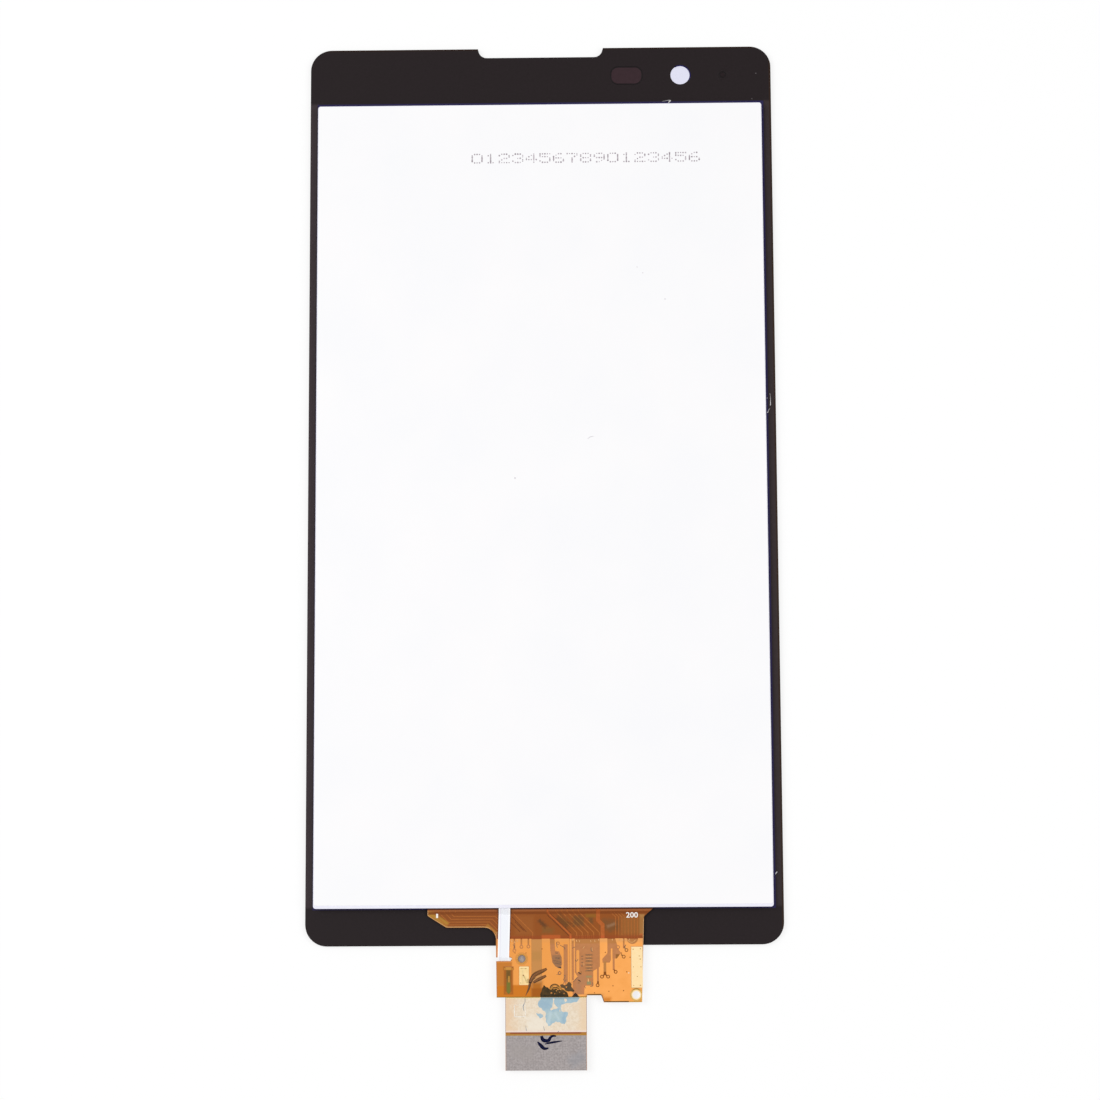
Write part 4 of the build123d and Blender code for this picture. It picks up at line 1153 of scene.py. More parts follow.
        # Screen-printed legend ink: white and dull
        legend = Finish("legend_ink", "#FBF9F4", "#EFEAE2", grain=0.15, roughness=0.6)
        labels = (
            ("1", (-16.25, -65.58), (-15.96, -64.96)),
            ("200", (12.28, -65.68), (14.07, -64.86)),
        )
        floor = Carrier.COPPER.top()
        for place, (words, start, end) in enumerate(labels):
            text = bpy.data.curves.new("label", "FONT")
            text.body = words
            text.offset = self.label_weight
            text.extrude = 0.5
            text.resolution_u = 3
            mesh = closed_mesh(linked("label", text))
            # The number is fitted into its own box, wherever the font sets it
            ends = [sorted(corner.co[axis] for corner in mesh.vertices) for axis in range(3)]
            low, high = (*start, floor), (*end, floor + THICK)
            for corner in mesh.vertices:
                for axis, values in enumerate(ends):
                    share = (corner.co[axis] - values[0]) / (values[-1] - values[0])
                    corner.co[axis] = (low[axis] + share * (high[axis] - low[axis])) * MM
            paint(mesh, legend)
            new_piece(f"pin_number_{place + 1}", mesh)

    def lay_vias(self) -> None:
        """Lays the dots of the small vias, the pricks of the test pad and the solder balls."""
        plane = [
            (9.14, -70.83), (11.52, -70.95), (12.82, -71.58), (12.32, -73.73), (10.24, -75.78),
            (11.81, -76.51), (9.61, -76.60), (7.47, -76.81), (-0.36, -70.26), (-3.18, -74.18),
            (-4.41, -70.85), (-2.76, -70.86), (-4.94, -71.89),
        ]  # fmt: skip
        land = [
            (13.29, -70.39), (14.39, -70.32), (14.21, -71.38), (14.35, -71.85), (13.30, -73.00),
            (14.44, -73.00), (13.89, -74.43), (13.35, -75.75), (14.34, -75.75),
        ]  # fmt: skip
        pricks = [(-3.52 + 0.17 * place, -73.17) for place in range(6)]
        pricks += [(-3.14, -74.18), (-3.57, -75.3), (-2.68, -75.27)]
        balls = [(12.62, -73.89), (-4.95, -71.72)]
        # Film and gold sunk over a hole, a probe's prick in gold, and solder: dark dots, one bright
        dark = Finish("via_dimple", "#B4702F", "#9A5A24", grain=0.1, gloss=0.25)
        faint = Finish("gilded_dimple", "#C9A266", "#B48C50", grain=0.1, gloss=0.25)
        prick = Finish("pad_prick", "#8C7638", "#A08848", grain=0.1, gloss=0.25)
        solder = Finish("solder_ball", "#F6EEDD", "#E8DCC6", grain=0.1, roughness=0.35)
        fine = DotPrint(0.06, spread=0.25, sides=8, seed=7)
        raised = DotPrint(0.1, height=0.01, spread=0.2, seed=8)
        for dots, name, slot, places, finish in (
            (DotPrint(0.1, seed=5), "plane_vias", "filmed_copper", plane, dark),
            (DotPrint(0.09, spread=0.2, seed=6), "land_vias", "gold_plate", land, faint),
            (fine, "pad_pricks", "gold_plate", pricks, prick),
            (raised, "solder_balls", "gold_plate", balls, solder),
        ):
            dots.lay(name, slot, places, Carrier.COPPER, finish)

    def over_copper(self) -> float:
        """Height of a mark that starts on the film and ends just over the copper."""
        return Carrier.COPPER.top() - Carrier.CIRCUIT.top() + FLUSH

    def lay_margins(self) -> None:
        """Lays the margins, where the film has no copper, and the tarnish of the ring."""
        outline = [
            (
                (-17.49, -64.5, 0.08), (-17.49, -65.22, 0.1), (-14.75, -66.92, 0.12),
                (-14.4, -66.95, 0.14), (-9.05, -66.95, 0.14), (-8.34, -67.1, 0.12),
                (-7.72, -67.5, 0.12), (-7.32, -68.1, 0.12), (-7.17, -68.8, 0.1),
            ),
            ((14.9, -65.8, 0.08), (14.81, -69.0, 0.1), (14.76, -70.0, 0.1)),
        ]  # fmt: skip
        foot = [
            ((-5.86, -77.5, 0.14), (-0.66, -77.5, 0.14)),
            ((5.3, -77.5, 0.14), (6.26, -77.5, 0.14)),
        ]
        shaded = [
            ((8.95, -78.12, 0.12), (12.6, -78.12, 0.14)),
            ((6.4, -77.07, 0.14), (8.4, -77.07, 0.16), (8.52, -77.2, 0.08), (8.85, -78.05, 0.06)),
        ]
        golden = [
            ((12.7, -78.12, 0.12), (14.5, -78.12, 0.14)),
            round_box((-4.09, -72.4), (-2.73, -71.04), 0.68, 0.1),
        ]
        low, high = (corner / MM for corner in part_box("peg_ring"))
        inset = self.tarnish / 2
        ends = (low.x + inset, low.y + inset), (high.x - inset, high.y - inset)
        edge = round_box(*ends, (high.x - low.x) / 2 - inset, self.tarnish)
        # Polyimide with no copper under it: amber, pale over paper, dark in painted shade, golden
        # in painted light by a ring
        amber = Finish("bare_film_margin", "#D8A46A", "#C48E50", grain=0.8, roughness=0.35)
        pale = Finish("pale_film_margin", "#FFECB4", "#FBDD9A", grain=0.8, roughness=0.35)
        olive = Finish(
            "shaded_film_margin", "#5E450A", "#523A08", grain=0.6, roughness=0.4, gloss=0.25
        )
        gold = Finish("golden_film_margin", "#D09C3C", "#C08C30", grain=0.6, roughness=0.4)
        # Gold plate at its edge: a deeper yellow
        tarnish = Finish("gold_tarnish", "#E2BA68", "#CFA250", grain=0.4, roughness=0.4, gloss=0.4)
        for name, slot, lines, carrier, height, finish in (
            ("film_margin", "polyimide", outline, Carrier.CIRCUIT, FLUSH, amber),
            ("foot_margin", "polyimide", foot, Carrier.LINER, THICK, pale),
            ("shaded_margin", "polyimide", shaded, Carrier.CIRCUIT, self.over_copper(), olive),
            ("golden_margin", "polyimide", golden, Carrier.CIRCUIT, self.over_copper(), gold),
            ("ring_tarnish", "gold_plate", [edge], Carrier.RING, FLUSH, tarnish),
        ):
            RibbonPrint(height, smooth=False).lay(name, slot, lines, carrier, finish)

    def lay_joints(self) -> None:
        """Lays the dark and light marks of the lower ply's joints, which show in the gaps, and
        painted shade beside lines.
        """
        shades = [
            ((6.2, y, 0.1), (6.6, y, 0.15), (7.16, y, 0.1))
            for y in (-71.18, -71.67, -72.08, -72.7, -73.16, -73.49)
        ]
        shades += [((5.5, y, 0.08), (5.8, y, 0.12)) for y in (-71.38, -71.79, -72.29)]
        shades += [
            ((1.59, -70.87, 0.1), (2.0, -70.91, 0.16)),
            ((1.67, -71.61, 0.14), (2.25, -71.69, 0.24)),
            ((1.33, -72.02, 0.08), (1.9, -72.08, 0.12), (2.5, -72.27, 0.16)),
            ((1.41, -72.35, 0.1), (1.95, -72.42, 0.16), (2.49, -72.56, 0.1)),
            ((1.9, -72.98, 0.14), (2.53, -73.06, 0.28)),
            ((2.32, -73.55, 0.09), (2.07, -73.84, 0.09), (2.28, -74.07, 0.1), (2.5, -73.84, 0.08)),
            ((2.2, -74.07, 0.07), (1.74, -74.08, 0.05)),
            ((2.9, -74.17, 0.09), (3.08, -74.24, 0.11), (2.98, -74.58, 0.09), (2.84, -74.83, 0.09)),
            ((2.84, -74.83, 0.09), (3.02, -75.09, 0.11), (3.25, -74.83, 0.08)),
            ((4.58, -71.87, 0.08), (4.79, -72.14, 0.11), (5.04, -71.79, 0.08)),
            ((4.94, -74.47, 0.08), (4.6, -74.84, 0.12), (4.31, -75.17, 0.09)),
            ((4.17, -70.18, 0.08), (4.59, -70.01, 0.11)),
            ((1.9, -69.3, 0.08), (1.85, -69.8, 0.11), (1.99, -70.1, 0.08)),
            ((2.34, -69.71, 0.08), (3.01, -70.09, 0.11), (3.01, -70.34, 0.12)),
            ((7.14, -75.26, 0.08), (7.27, -75.55, 0.11), (7.13, -75.84, 0.1), (6.84, -75.85, 0.08)),
            ((6.07, -75.75, 0.08), (6.01, -75.91, 0.1), (6.17, -76.15, 0.06)),
            ((5.57, -72.7, 0.14), (5.65, -72.91, 0.2)),
            ((7.02, -70.1, 0.08), (7.0, -70.5, 0.1), (7.18, -70.72, 0.1)),
            ((12.2, -69.7, 0.1), (12.06, -70.05, 0.14), (12.16, -70.45, 0.1)),
            ((-4.75, -69.6, 0.08), (-4.45, -69.9, 0.11), (-4.6, -70.2, 0.08)),
        ]
        dashes = [
            ((5.0, -73.72, 0.08), (5.25, -73.88, 0.18), (5.52, -74.02, 0.08)),
            ((4.98, -74.84, 0.06), (5.2, -75.0, 0.13), (5.43, -75.13, 0.06)),
            ((2.1, -73.04, 0.1), (2.5, -73.08, 0.14)),
        ]
        ends = (
            (-4.9, -68.9), (-4.5, -69.1), (-4.1, -68.9), (4.17, -68.8), (4.81, -68.95),
            (5.24, -69.0), (6.95, -69.0), (7.54, -68.95), (8.13, -68.8), (10.17, -68.8),
            (11.24, -68.8), (11.77, -68.8), (12.2, -68.85), (12.74, -68.8),
        )  # fmt: skip
        glints = [((x, y, 0.12), (x + 0.04, y - 0.28, 0.16)) for x, y in ends]
        glints += [
            ((12.5, -68.95, 0.1), (12.8, -69.3, 0.13), (13.35, -69.3, 0.13), (13.7, -68.95, 0.1)),
            ((5.75, -70.27, 0.1), (6.02, -69.9, 0.12)),
            ((5.91, -72.44, 0.12), (5.9, -72.75, 0.14)),
            ((7.14, -70.1, 0.12), (7.17, -70.6, 0.12)),
            ((6.55, -74.7, 0.24), (6.58, -75.15, 0.26)),
        ]
        rungs = (-71.43, -71.88, -72.4, -72.93, -73.33)
        glints += [((6.3, y, 0.05), (7.0, y, 0.08)) for y in rungs]
        lines = [
            ((0.42, -65.18, 0.1), (1.9, -66.57, 0.13), (3.66, -68.25, 0.12)),
            ((0.75, -64.9, 0.08), (2.2, -66.25, 0.12), (3.98, -67.97, 0.08)),
            ((-5.06, -64.4, 0.14), (-5.2, -68.7, 0.12), (-5.26, -70.5, 0.05)),
            ((-6.94, -64.4, 0.14), (-7.0, -68.5, 0.08)),
            ((-5.05, -66.29, 0.07), (-3.65, -67.69, 0.09)),
            ((-4.4, -66.2, 0.07), (-3.09, -67.51, 0.09)),
            ((-4.86, -65.45, 0.07), (-2.71, -67.7, 0.09)),
        ]
        # The lower ply under two films: brown in the shade, dark in a gap, bright on a pad
        brown = Finish("shaded_joints", "#96704E", "#7C5A40", grain=0.4, spread=1.0, roughness=0.4)
        dark = Finish("dark_joints", "#3C2620", "#4E342A", grain=0.3, roughness=0.4)
        light = Finish("bright_joints", "#E4A864", "#D0925A", grain=0.3, roughness=0.35)
        # Painted shade: red-brown lines beside the feed lines and along the lamp strip
        shade = Finish("line_shade", "#7C4018", "#6C3414", grain=0.4, roughness=0.35, gloss=0.25)
        height, raised = self.over_copper(), self.over_copper() + self.dash_rise
        for name, marks, ribbon, finish in (
            ("joint_shades", shades, RibbonPrint(height), brown),
            ("joint_dashes", dashes, RibbonPrint(raised), dark),
            ("joint_glints", glints, RibbonPrint(height), light),
            ("line_shades", lines, RibbonPrint(height, smooth=False), shade),
        ):
            ribbon.lay(name, "polyimide", marks, Carrier.CIRCUIT, finish)

    def lay_stain(self) -> None:
        """Lays the dried ink that soaked the foot of the board, and the two brush strokes."""
        zones = (
            Zone(2.2, 4.4, -76.6, -75.0, "#644A2E", soft=0.5, share=0.85, wave=0.1),
            Zone(3.3, 4.4, -76.4, -75.4, "#50402A", soft=0.4, share=0.7, wave=0.1),
            Zone(4.1, 5.4, -77.6, -76.5, "#2A161A", soft=0.4, share=0.8, wave=0.06),
            Zone(-0.7, 5.2, -77.5, -77.15, "#1E1A08", soft=0.3, share=0.7, wave=0.06),
        )
        # Ink that soaked in and dried: olive-black
        soaked = Finish(
            "soaked_ink", "#261E04", "#523A14",
            grain=0.45, spread=1.0, roughness=0.45, gloss=0.25, zones=zones,
        )
        soak = [
            # The soaked ink, then the five spots that it left bare
            (
                (-0.62, self.foot), (-0.66, -76.95), (-0.5, -76.62), (-0.36, -76.1), (-0.2, -75.88),
                (-0.12, -75.6), (0.1, -75.82), (0.3, -75.96), (0.52, -75.98), (0.66, -76.2),
                (0.95, -76.34), (1.2, -76.22), (1.42, -76.3), (1.7, -76.18), (1.95, -76.36),
                (2.25, -76.3), (2.5, -76.5), (2.8, -76.46), (3.1, -76.66), (3.3, -76.64),
                (3.46, -76.9), (3.6, self.foot),
            ),
            ((0.86, -76.76), (1.1, -76.72), (1.16, -76.84), (0.94, -76.9)),
            ((1.64, -76.42), (1.84, -76.38), (1.9, -76.54), (1.72, -76.6)),
            ((2.1, -76.66), (2.36, -76.64), (2.28, -76.78)),
            ((1.4, -76.9), (1.58, -76.86), (1.56, -76.98)),
            ((2.8, -76.86), (3.02, -76.84), (2.94, -76.98)),
            # The smudge beside it with one bare spot, and the wedge
            (
                (2.3, -75.62), (2.62, -75.5), (2.95, -75.7), (3.25, -75.62), (3.42, -75.36),
                (3.58, -75.16), (3.86, -75.28), (4.06, -75.5), (4.0, -75.86), (4.24, -76.2),
                (4.48, -76.5), (4.3, -76.66), (3.9, -76.58), (3.5, -76.62), (3.1, -76.4),
                (2.9, -76.12), (2.5, -76.02),
            ),
            ((3.1, -75.9), (3.4, -75.84), (3.3, -76.06)),
            ((4.06, self.foot), (4.28, -77.1), (4.62, -76.78), (4.86, -77.0), (5.2, self.foot)),
        ]  # fmt: skip
        wash = [
            (
                (0.75, -76.3), (0.85, -75.9), (1.1, -75.6), (1.5, -75.46), (1.95, -75.58),
                (2.4, -75.9), (2.7, -76.2), (3.3, -76.6), (2.9, -76.78), (1.9, -76.74),
                (1.1, -76.76),
            ),
            ((1.3, -75.85), (1.6, -75.72), (1.8, -75.82), (1.5, -75.95)),
            ((1.9, -76.3), (2.3, -76.25), (2.45, -76.4), (2.1, -76.45)),
        ]  # fmt: skip
        # The same ink, washed thin: a pale brown veil
        thin = Finish(
            "thin_ink_wash", "#A4702C", "#BC8238", grain=0.35, spread=1.0, roughness=0.4, gloss=0.25
        )
        InkPrint(wash, smooth=True).lay("ink_wash", "filmed_copper", Carrier.COPPER, thin)
        InkPrint(soak, THICK).lay("ink_soak", "filmed_copper", Carrier.COPPER, soaked)
        # The same ink, brushed on: brown strokes
        brushed = Finish(
            "brushed_ink", "#774A26", "#915E32", grain=0.5, spread=1.0, roughness=0.45, gloss=0.25
        )
        strokes = [
            (
                (-2.2, -75.3, 0.4), (-1.93, -74.7, 0.54), (-1.54, -74.17, 0.64),
                (-0.89, -73.79, 0.64), (-0.25, -73.52, 0.54), (0.35, -73.22, 0.34),
            ),
            ((-1.7, -75.24, 0.3), (-1.02, -74.86, 0.5), (-0.45, -74.58, 0.5), (0.24, -74.24, 0.34)),
            ((-2.14, -75.2, 0.4), (-2.36, -76.1, 0.34), (-2.56, -76.6, 0.22), (-2.85, -77.2, 0.07)),
        ]  # fmt: skip
        RibbonPrint().lay("ink_brush", "filmed_copper", strokes, Carrier.COPPER, brushed)
        # Ink that ran together at the edge of a stroke: dark brown
        pooled = Finish(
            "pooled_ink", "#46301A", "#5A3E22", grain=0.4, spread=1.0, roughness=0.45, gloss=0.25
        )
        pools = [
            ((-2.3, -75.2, 0.1), (-2.08, -74.6, 0.13), (-1.66, -74.02, 0.1), (-0.9, -73.6, 0.07)),
            ((-1.6, -75.34, 0.1), (-0.9, -74.98, 0.12), (-0.3, -74.68, 0.08), (0.24, -74.36, 0.05)),
            ((-2.02, -75.1, 0.08), (-2.3, -76.0, 0.13), (-2.6, -76.8, 0.05)),
            ((-1.1, -74.06, 0.05), (-0.4, -73.76, 0.09), (0.2, -73.44, 0.05)),
            ((-2.0, -75.3, 0.16), (-1.75, -74.85, 0.12), (-1.3, -74.5, 0.06)),
            (
                (0.75, -76.15, 0.08), (1.0, -75.72, 0.16), (1.45, -75.5, 0.12),
                (1.95, -75.64, 0.14), (2.15, -75.9, 0.06),
            ),
            ((1.1, -76.3, 0.06), (1.4, -75.98, 0.12), (1.9, -76.05, 0.12), (2.25, -76.35, 0.06)),
            ((2.2, -76.45, 0.06), (2.7, -76.4, 0.13), (3.2, -76.72, 0.07)),
        ]  # fmt: skip
        RibbonPrint(THICK).lay("ink_pools", "filmed_copper", pools, Carrier.COPPER, pooled)


@dataclass
class ConnectorTail:
    """The lower ply with its liner, its grey sheet and the parts under it.

    Attributes:
        left: Left edge of the tail in mm.
        right: Right edge of the tail in mm.
        blot_top: Upper edge of the blot in mm.
    """

    left: float = -5.88
    right: float = 6.28
    blot_top: float = -77.46

    def build(self) -> None:
        """Dresses the tail and lays the ink marks on it."""
        left, right = self.left, self.right
        # Polyimide over a thin copper weave: red-brown, golden where it is bare of copper
        zones = (
            Zone(left, right, -83.2, -82.88, "#BE8F38", soft=0.12, share=0.9),
            Zone(left, -5.2, -83.2, -82.5, "#B8802E", soft=0.4, share=0.8),
            Zone(5.4, right, -83.2, -82.5, "#B8802E", soft=0.5, share=0.8),
        )
        tail = Finish(
            "amber_tail_film", "#96502A", "#A05A2C",
            grain=0.9, spread=0.8, roughness=0.35, gloss=0.3, zones=zones,
        )
        dress(tail, "tail_flex")
        # Siliconised paper: warm cream, with the faint flocking of its fibres
        zones = (
            Zone(left - 1, -4.6, -83, -77, "#E8C6A2", soft=2.0, share=0.75, wave=0.3),
            Zone(5.1, right + 1, -83, -77, "#EACDA9", soft=1.8, share=0.75, wave=0.3),
            Zone(left, right, -82.7, -82.38, "#F1DAD4", soft=0.3, share=0.8),
            Zone(left, right, -77.58, -77.3, "#FFF2CC", soft=0.12, share=0.9),
            Zone(-2.6, 0.1, -82.4, -80.2, "#EFE6D6", soft=1.2, share=0.7, wave=0.3),
        )
        paper = Finish(
            "siliconised_paper", "#F0E2CD", "#DFCAAE",
            grain=0.32, spread=0.8, roughness=0.55, rough_spread=0.15, relief=0.004, gloss=0.3,
            zones=zones,
        )
        dress(paper, "release_liner")
        # Acrylic glue in a layer: straw-coloured and satin
        glue = Finish("acrylic_adhesive", "#D9C7A2", "#CDB88C", grain=0.3, roughness=0.4)
        dress(glue, "liner_adhesive", "bond_sheet")
        # Conductive cloth: grey, with a fine weave and mottled plating
        zones = (
            Zone(3.6, 6.0, -87.4, -85.8, "#93949A", soft=1.2, share=0.5, turn=30, wave=0.15),
            Zone(-5.2, -1.6, -86.6, -84.4, "#A29A97", soft=1.4, share=0.6, turn=-12, wave=0.15),
            Zone(left - 1, left + 0.1, -90, -80, "#BC8F72", soft=0.1, share=0.7),
            Zone(right - 0.1, right + 1, -90, -80, "#BC8F72", soft=0.1, share=0.7),
        )
        cloth = WovenFinish(
            "conductive_cloth", "#918988", "#B1A9A8",
            grain=0.24, spread=1.0, roughness=0.5, rough_spread=0.2, relief=0.006, gloss=0.4,
            zones=zones,
        )
        dress(cloth, "tail_shield", "hole_shield")
        # Liquid crystal polymer, moulded: black, satin
        black = Finish("liquid_crystal_polymer", "#1D1D1E", "#262627", grain=0.2, roughness=0.45)
        dress(black, "connector_housing")
        # Bronze, gold plated: warm yellow metal
        gilded = Finish(
            "gilded_bronze", "#E2BB62", "#EBC976", grain=0.1, roughness=0.25, metallic=1.0
        )
        dress(gilded, "contact_row_upper", "contact_row_lower")
        # Bronze, tin plated: pale grey metal
        tinned = Finish(
            "tinned_bronze", "#C9C9C6", "#B6B6B4", grain=0.1, roughness=0.3, metallic=1.0
        )
        dress(tinned, "anchor_left", "anchor_right")
        # Ferrite, sintered: dark grey and rough
        ferrite = Finish(
            "sintered_ferrite", "#4A4A4C", "#3A3A3C", grain=0.08, roughness=0.7, relief=0.004
        )
        dress(ferrite, "inductor")
        # Epoxy, moulded: black, with a fine grain of its filler
        resin = Finish(
            "moulded_epoxy", "#1B1B1C", "#262628", grain=0.1, roughness=0.6, relief=0.003
        )
        dress(resin, "regulator_chip")
        # Ceramic, fired: tan and satin
        ceramic = Finish("fired_ceramic", "#A88458", "#9A774C", grain=0.12)
        dress(ceramic, *(f"capacitor_{place}" for place in range(1, 5)))
        self.lay_blot()
        self.lay_pen_marks()

    def lay_blot(self) -> None:
        """Lays the pale blue blot on the liner, with the gaps that its edges tore."""
        zones = (
            Zone(-1.0, 0.9, -79.2, -77.9, "#97B3C4", soft=0.8, share=0.7, wave=0.1),
            Zone(0.4, 2.4, -80.9, -79.5, "#B4C8C8", soft=0.7, share=0.7, wave=0.15),
            Zone(-0.6, 5.3, -77.75, -77.3, "#86A7B4", soft=0.3, share=0.6),
            Zone(0.5, 0.9, -81.6, -79.6, "#BFD3DA", soft=0.3, share=0.6, turn=-14, wave=0.06),
            Zone(1.7, 2.0, -81.0, -79.6, "#BFD3DA", soft=0.3, share=0.6, turn=30, wave=0.06),
            Zone(2.6, 3.1, -81.3, -80.3, "#92B2C4", soft=0.4, share=0.6, wave=0.06),
        )
        # Water-based ink, dried on paper: pale blue, mottled
        blue = Finish(
            "dried_blue_ink", "#98B7C9", "#B2C8CE", grain=0.55, spread=1.0, gloss=0.3, zones=zones
        )
        top = self.blot_top
        blot = [
            # The blot, then its three gaps, then the lobe that came off it
            (
                (-0.6, top), (-0.62, -77.78), (-0.92, -78.02), (-1.04, -78.5), (-0.86, -78.9),
                (-0.5, -79.02), (-0.28, -79.4), (0.02, -79.52), (0.2, -79.86), (0.08, -80.3),
                (0.2, -80.72), (0.16, -81.05), (0.42, -81.36), (0.56, -81.72), (0.9, -81.6),
                (1.14, -81.3), (1.42, -81.22), (1.66, -81.02), (1.9, -81.14), (2.2, -81.1),
                (2.5, -81.34), (2.98, -81.4), (3.22, -81.02), (3.2, -80.5), (3.44, -80.1),
                (3.5, -79.7), (3.1, -79.58), (2.8, -79.66), (2.5, -79.5), (2.4, -78.98),
                (2.48, -78.56), (2.9, -78.44), (3.3, -78.3), (3.9, -78.34), (4.3, -78.2),
                (4.84, -78.14), (5.06, -77.86), (5.26, top),
            ),
            (
                (1.22, -77.6), (1.5, -77.66), (1.38, -78.0), (1.44, -78.4), (1.72, -78.76),
                (2.02, -79.02), (1.7, -79.16), (1.3, -79.22), (0.96, -79.4), (0.8, -79.2),
                (1.12, -78.92), (1.2, -78.4), (1.28, -78.0),
            ),
            ((2.9, -77.62), (3.3, -77.7), (3.36, -77.96), (3.1, -78.2), (2.96, -77.94)),
            ((2.3, -79.2), (2.36, -79.5), (2.22, -79.62), (2.2, -79.36)),
            (
                (-1.3, -79.76), (-1.02, -79.86), (-0.62, -79.84), (-0.3, -80.02), (-0.2, -80.3),
                (-0.46, -80.46), (-0.74, -80.6), (-0.84, -80.32), (-1.1, -80.14),
            ),
        ]  # fmt: skip
        InkPrint(blot).lay("ink_blot", "release_paper", Carrier.LINER, blue)

    def lay_pen_marks(self) -> None:
        """Lays the pen tick on the grey sheet, a thin line and a pressed mark on the liner."""
        # Pen ink on cloth: blue-black
        navy = Finish("pen_ink", "#030314", "#10164C", grain=0.22, spread=0.8, gloss=0.1)
        tick = [
            ((-1.1, -84.0, 0.15), (-0.65, -84.5, 0.5), (-0.1, -85.0, 0.45), (0.55, -84.95, 0.2)),
            ((-0.5, -83.15, 0.4), (-0.25, -83.75, 0.55), (0.5, -83.85, 0.5), (0.85, -83.3, 0.4)),
            ((0.85, -83.3, 0.4), (1.3, -83.15, 0.3), (1.7, -83.2, 0.15)),
            ((0.0, -84.35, 0.12), (1.2, -84.1, 0.32), (2.6, -83.9, 0.1)),
        ]
        pen = RibbonPrint(height=0.005)
        pen.lay("pen_tick", "shield_film", tick, Carrier.SHIELD, navy)
        # Pen ink that faded on paper: grey
        grey = Finish("faded_pen_ink", "#8E97A2", "#B6B4B0", grain=0.3)
        squiggle = [
            (
                (-2.94, -77.5, 0.12), (-2.95, -78.1, 0.07), (-3.22, -78.8, 0.12),
                (-3.1, -79.45, 0.06),
            ),
            ((-2.85, -81.6, 0.04), (-2.75, -82.4, 0.1)),
            ((-0.2, -81.7, 0.04), (-0.03, -82.35, 0.09)),
            ((2.1, -82.45, 0.12), (1.9, -82.62, 0.05)),
        ]
        RibbonPrint().lay("liner_squiggle", "release_paper", squiggle, Carrier.LINER, grey)
        # Paper pressed smooth: a little lighter
        pressed = Finish("pressed_paper", "#F6F1E8", "#EFE6D8", grain=0.3)
        mark = [
            ((-4.56, -78.57, 0.1), (-4.5, -80.3, 0.12), (-2.89, -80.29, 0.1)),
            ((-4.56, -78.57, 0.07), (-2.9, -78.57, 0.05)),
            ((-2.88, -78.6, 0.05), (-2.89, -80.2, 0.08)),
        ]
        flat = RibbonPrint(FLUSH, smooth=False)
        flat.lay("pressed_mark", "release_paper", mark, Carrier.LINER, pressed)


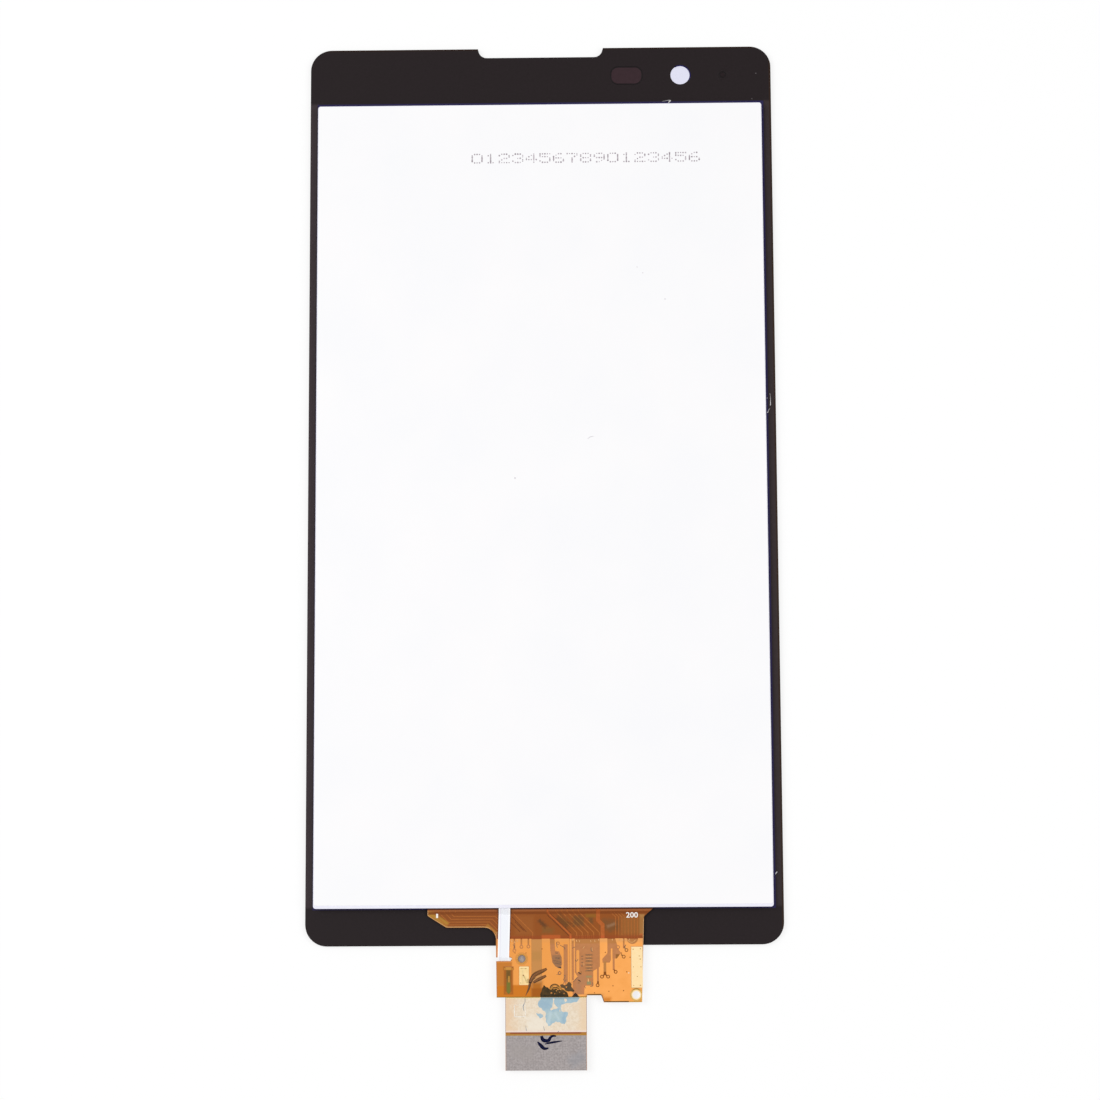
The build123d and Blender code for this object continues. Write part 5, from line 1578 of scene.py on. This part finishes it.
@dataclass
class Studio:
    """Floor, lights and the camera at the photograph's place.

    Attributes:
        turn: Turns of the object about x, y and z towards the camera, in degrees.
        shift: Place of the object's origin before the camera, in mm.
        image_side: Side of the photograph in pixels.
        focal_pixels: Focal length in pixels.
        floor_side: Side of the floor in mm.
        floor_depth: How far in mm the floor lies below the glass.
        floor_keep: Share of the floor that shows shadow, the rest is plain white.
        key: Place of the main softbox in mm.
        key_power: Its power in watts.
        fill: Place of the second softbox in mm.
        fill_power: Its power in watts.
        lamp_side: Side of each softbox in mm.
        sky: Strength of the light from all round.
        clip: Nearest and farthest distance in metres that the camera sees.
    """

    turn: Place = (-8.3478, -0.92626, 0.41806)
    shift: Place = (-1.16153219, -9.53153381, 461.225616)
    image_side: float = 1100.0
    focal_pixels: float = 3000.0
    floor_side: float = 3000.0
    floor_depth: float = 0.02
    floor_keep: float = 0.22
    key: Place = (-430, 40, 560)
    key_power: float = 2.1
    fill: Place = (450, -60, 560)
    fill_power: float = 1.74
    lamp_side: float = 400.0
    sky: float = 0.47
    clip: Point = (0.01, 20.0)

    def build(self) -> None:
        """Makes the floor, the world, the lamps and the camera."""
        self.make_floor()
        self.make_world()
        self.make_lamp("key_softbox", self.key, self.key_power)
        self.make_lamp("fill_softbox", self.fill, self.fill_power)
        self.make_camera()

    def make_floor(self) -> None:
        """Makes the pale floor, which looks white and keeps the object's shadow."""
        side, depth = self.floor_side / 2 * MM, -self.floor_depth * MM
        mesh = bpy.data.meshes.new("floor")
        corners = [(x * side, y * side, depth) for x, y in ((-1, -1), (1, -1), (1, 1), (-1, 1))]
        mesh.from_pydata(corners, [], [(0, 1, 2, 3)])
        # Backdrop paper: pure white to the camera and in mirrors, a little grey as a light
        material = bpy.data.materials.new("white_backdrop_paper")
        tree = cleared(material)
        rays = add_node(tree, "ShaderNodeLightPath").outputs
        white = linear("#FFFFFF")
        paper = add_node(tree, "ShaderNodeBsdfDiffuse", {"Color": linear("#F2F2F2")})
        glow = add_node(tree, "ShaderNodeEmission", {"Color": white, "Strength": 1.0})
        shade = add_node(tree, "ShaderNodeBsdfDiffuse", {"Color": white})
        kept = add_node(tree, MIX_SHADER, {0: self.floor_keep, 1: glow, 2: shade})
        seen = add_node(tree, MIX_SHADER, {0: rays["Is Camera Ray"], 1: paper, 2: kept})
        hits = {0: rays["Is Glossy Ray"], 1: rays["Is Transmission Ray"]}
        mirrored = add_node(tree, MATH, hits, operation="MAXIMUM")
        shown = add_node(tree, MIX_SHADER, {0: mirrored, 1: seen, 2: glow})
        add_node(tree, "ShaderNodeOutputMaterial", {"Surface": shown})
        mesh.materials.append(material)
        floor = linked("floor", mesh)

    def make_world(self) -> None:
        """Makes a plain grey world that looks white to the camera."""
        world = bpy.data.worlds.new("studio")
        bpy.context.scene.world = world
        tree = cleared(world)
        rays = add_node(tree, "ShaderNodeLightPath").outputs
        hits = {0: rays["Is Camera Ray"], 1: rays["Is Transmission Ray"]}
        seen = add_node(tree, MATH, hits, operation="MAXIMUM")
        fill, white = (
            add_node(tree, "ShaderNodeBackground", {"Color": linear("#FFFFFF"), "Strength": level})
            for level in (self.sky, 1.0)
        )
        shown = add_node(tree, MIX_SHADER, {0: seen, 1: fill, 2: white})
        add_node(tree, "ShaderNodeOutputWorld", {"Surface": shown})

    def make_lamp(self, name: str, place: Place, power: float) -> None:
        """Makes a square softbox that faces the object.

        Args:
            name: The lamp's name.
            place: Its place in mm.
            power: Its power in watts.
        """
        light = bpy.data.lights.new(name, "AREA")
        light.shape = "SQUARE"
        light.size = self.lamp_side * MM
        light.energy = power
        lamp = linked(name, light)
        lamp.location = Vector(place) * MM
        lamp.rotation_euler = (-lamp.location).to_track_quat("-Z", "Y").to_euler()

    def make_camera(self) -> None:
        """Makes the camera at the photograph's place and sets it as the scene's."""
        about_x, about_y, about_z = (
            Matrix.Rotation(math.radians(angle), 3, axis) for angle, axis in zip(self.turn, "XYZ")
        )
        back = (about_z @ about_y @ about_x).transposed()
        right, down, away = self.shift
        camera = bpy.data.cameras.new("camera")
        camera.sensor_width = 36
        camera.lens = self.focal_pixels / self.image_side * camera.sensor_width
        camera.clip_start, camera.clip_end = self.clip
        seat = linked("camera", camera)
        place = Matrix.Translation(back @ Vector((-right, down, away)) * MM)
        seat.matrix_world = place @ back.to_4x4()
        bpy.context.scene.camera = seat


def main() -> None:
    """Builds the sub-assemblies in order, then the studio, and sets the plain view transform."""
    logging.basicConfig(level=logging.INFO, format="%(name)s %(message)s")
    for part in (CoverGlass(), DisplayModule(), FlexBoard(), ConnectorTail()):
        LOG.info("building %s", type(part).__name__)
        part.build()
    Studio().build()
    bpy.context.scene.view_settings.view_transform = "Standard"


if __name__ == "__main__":
    main()
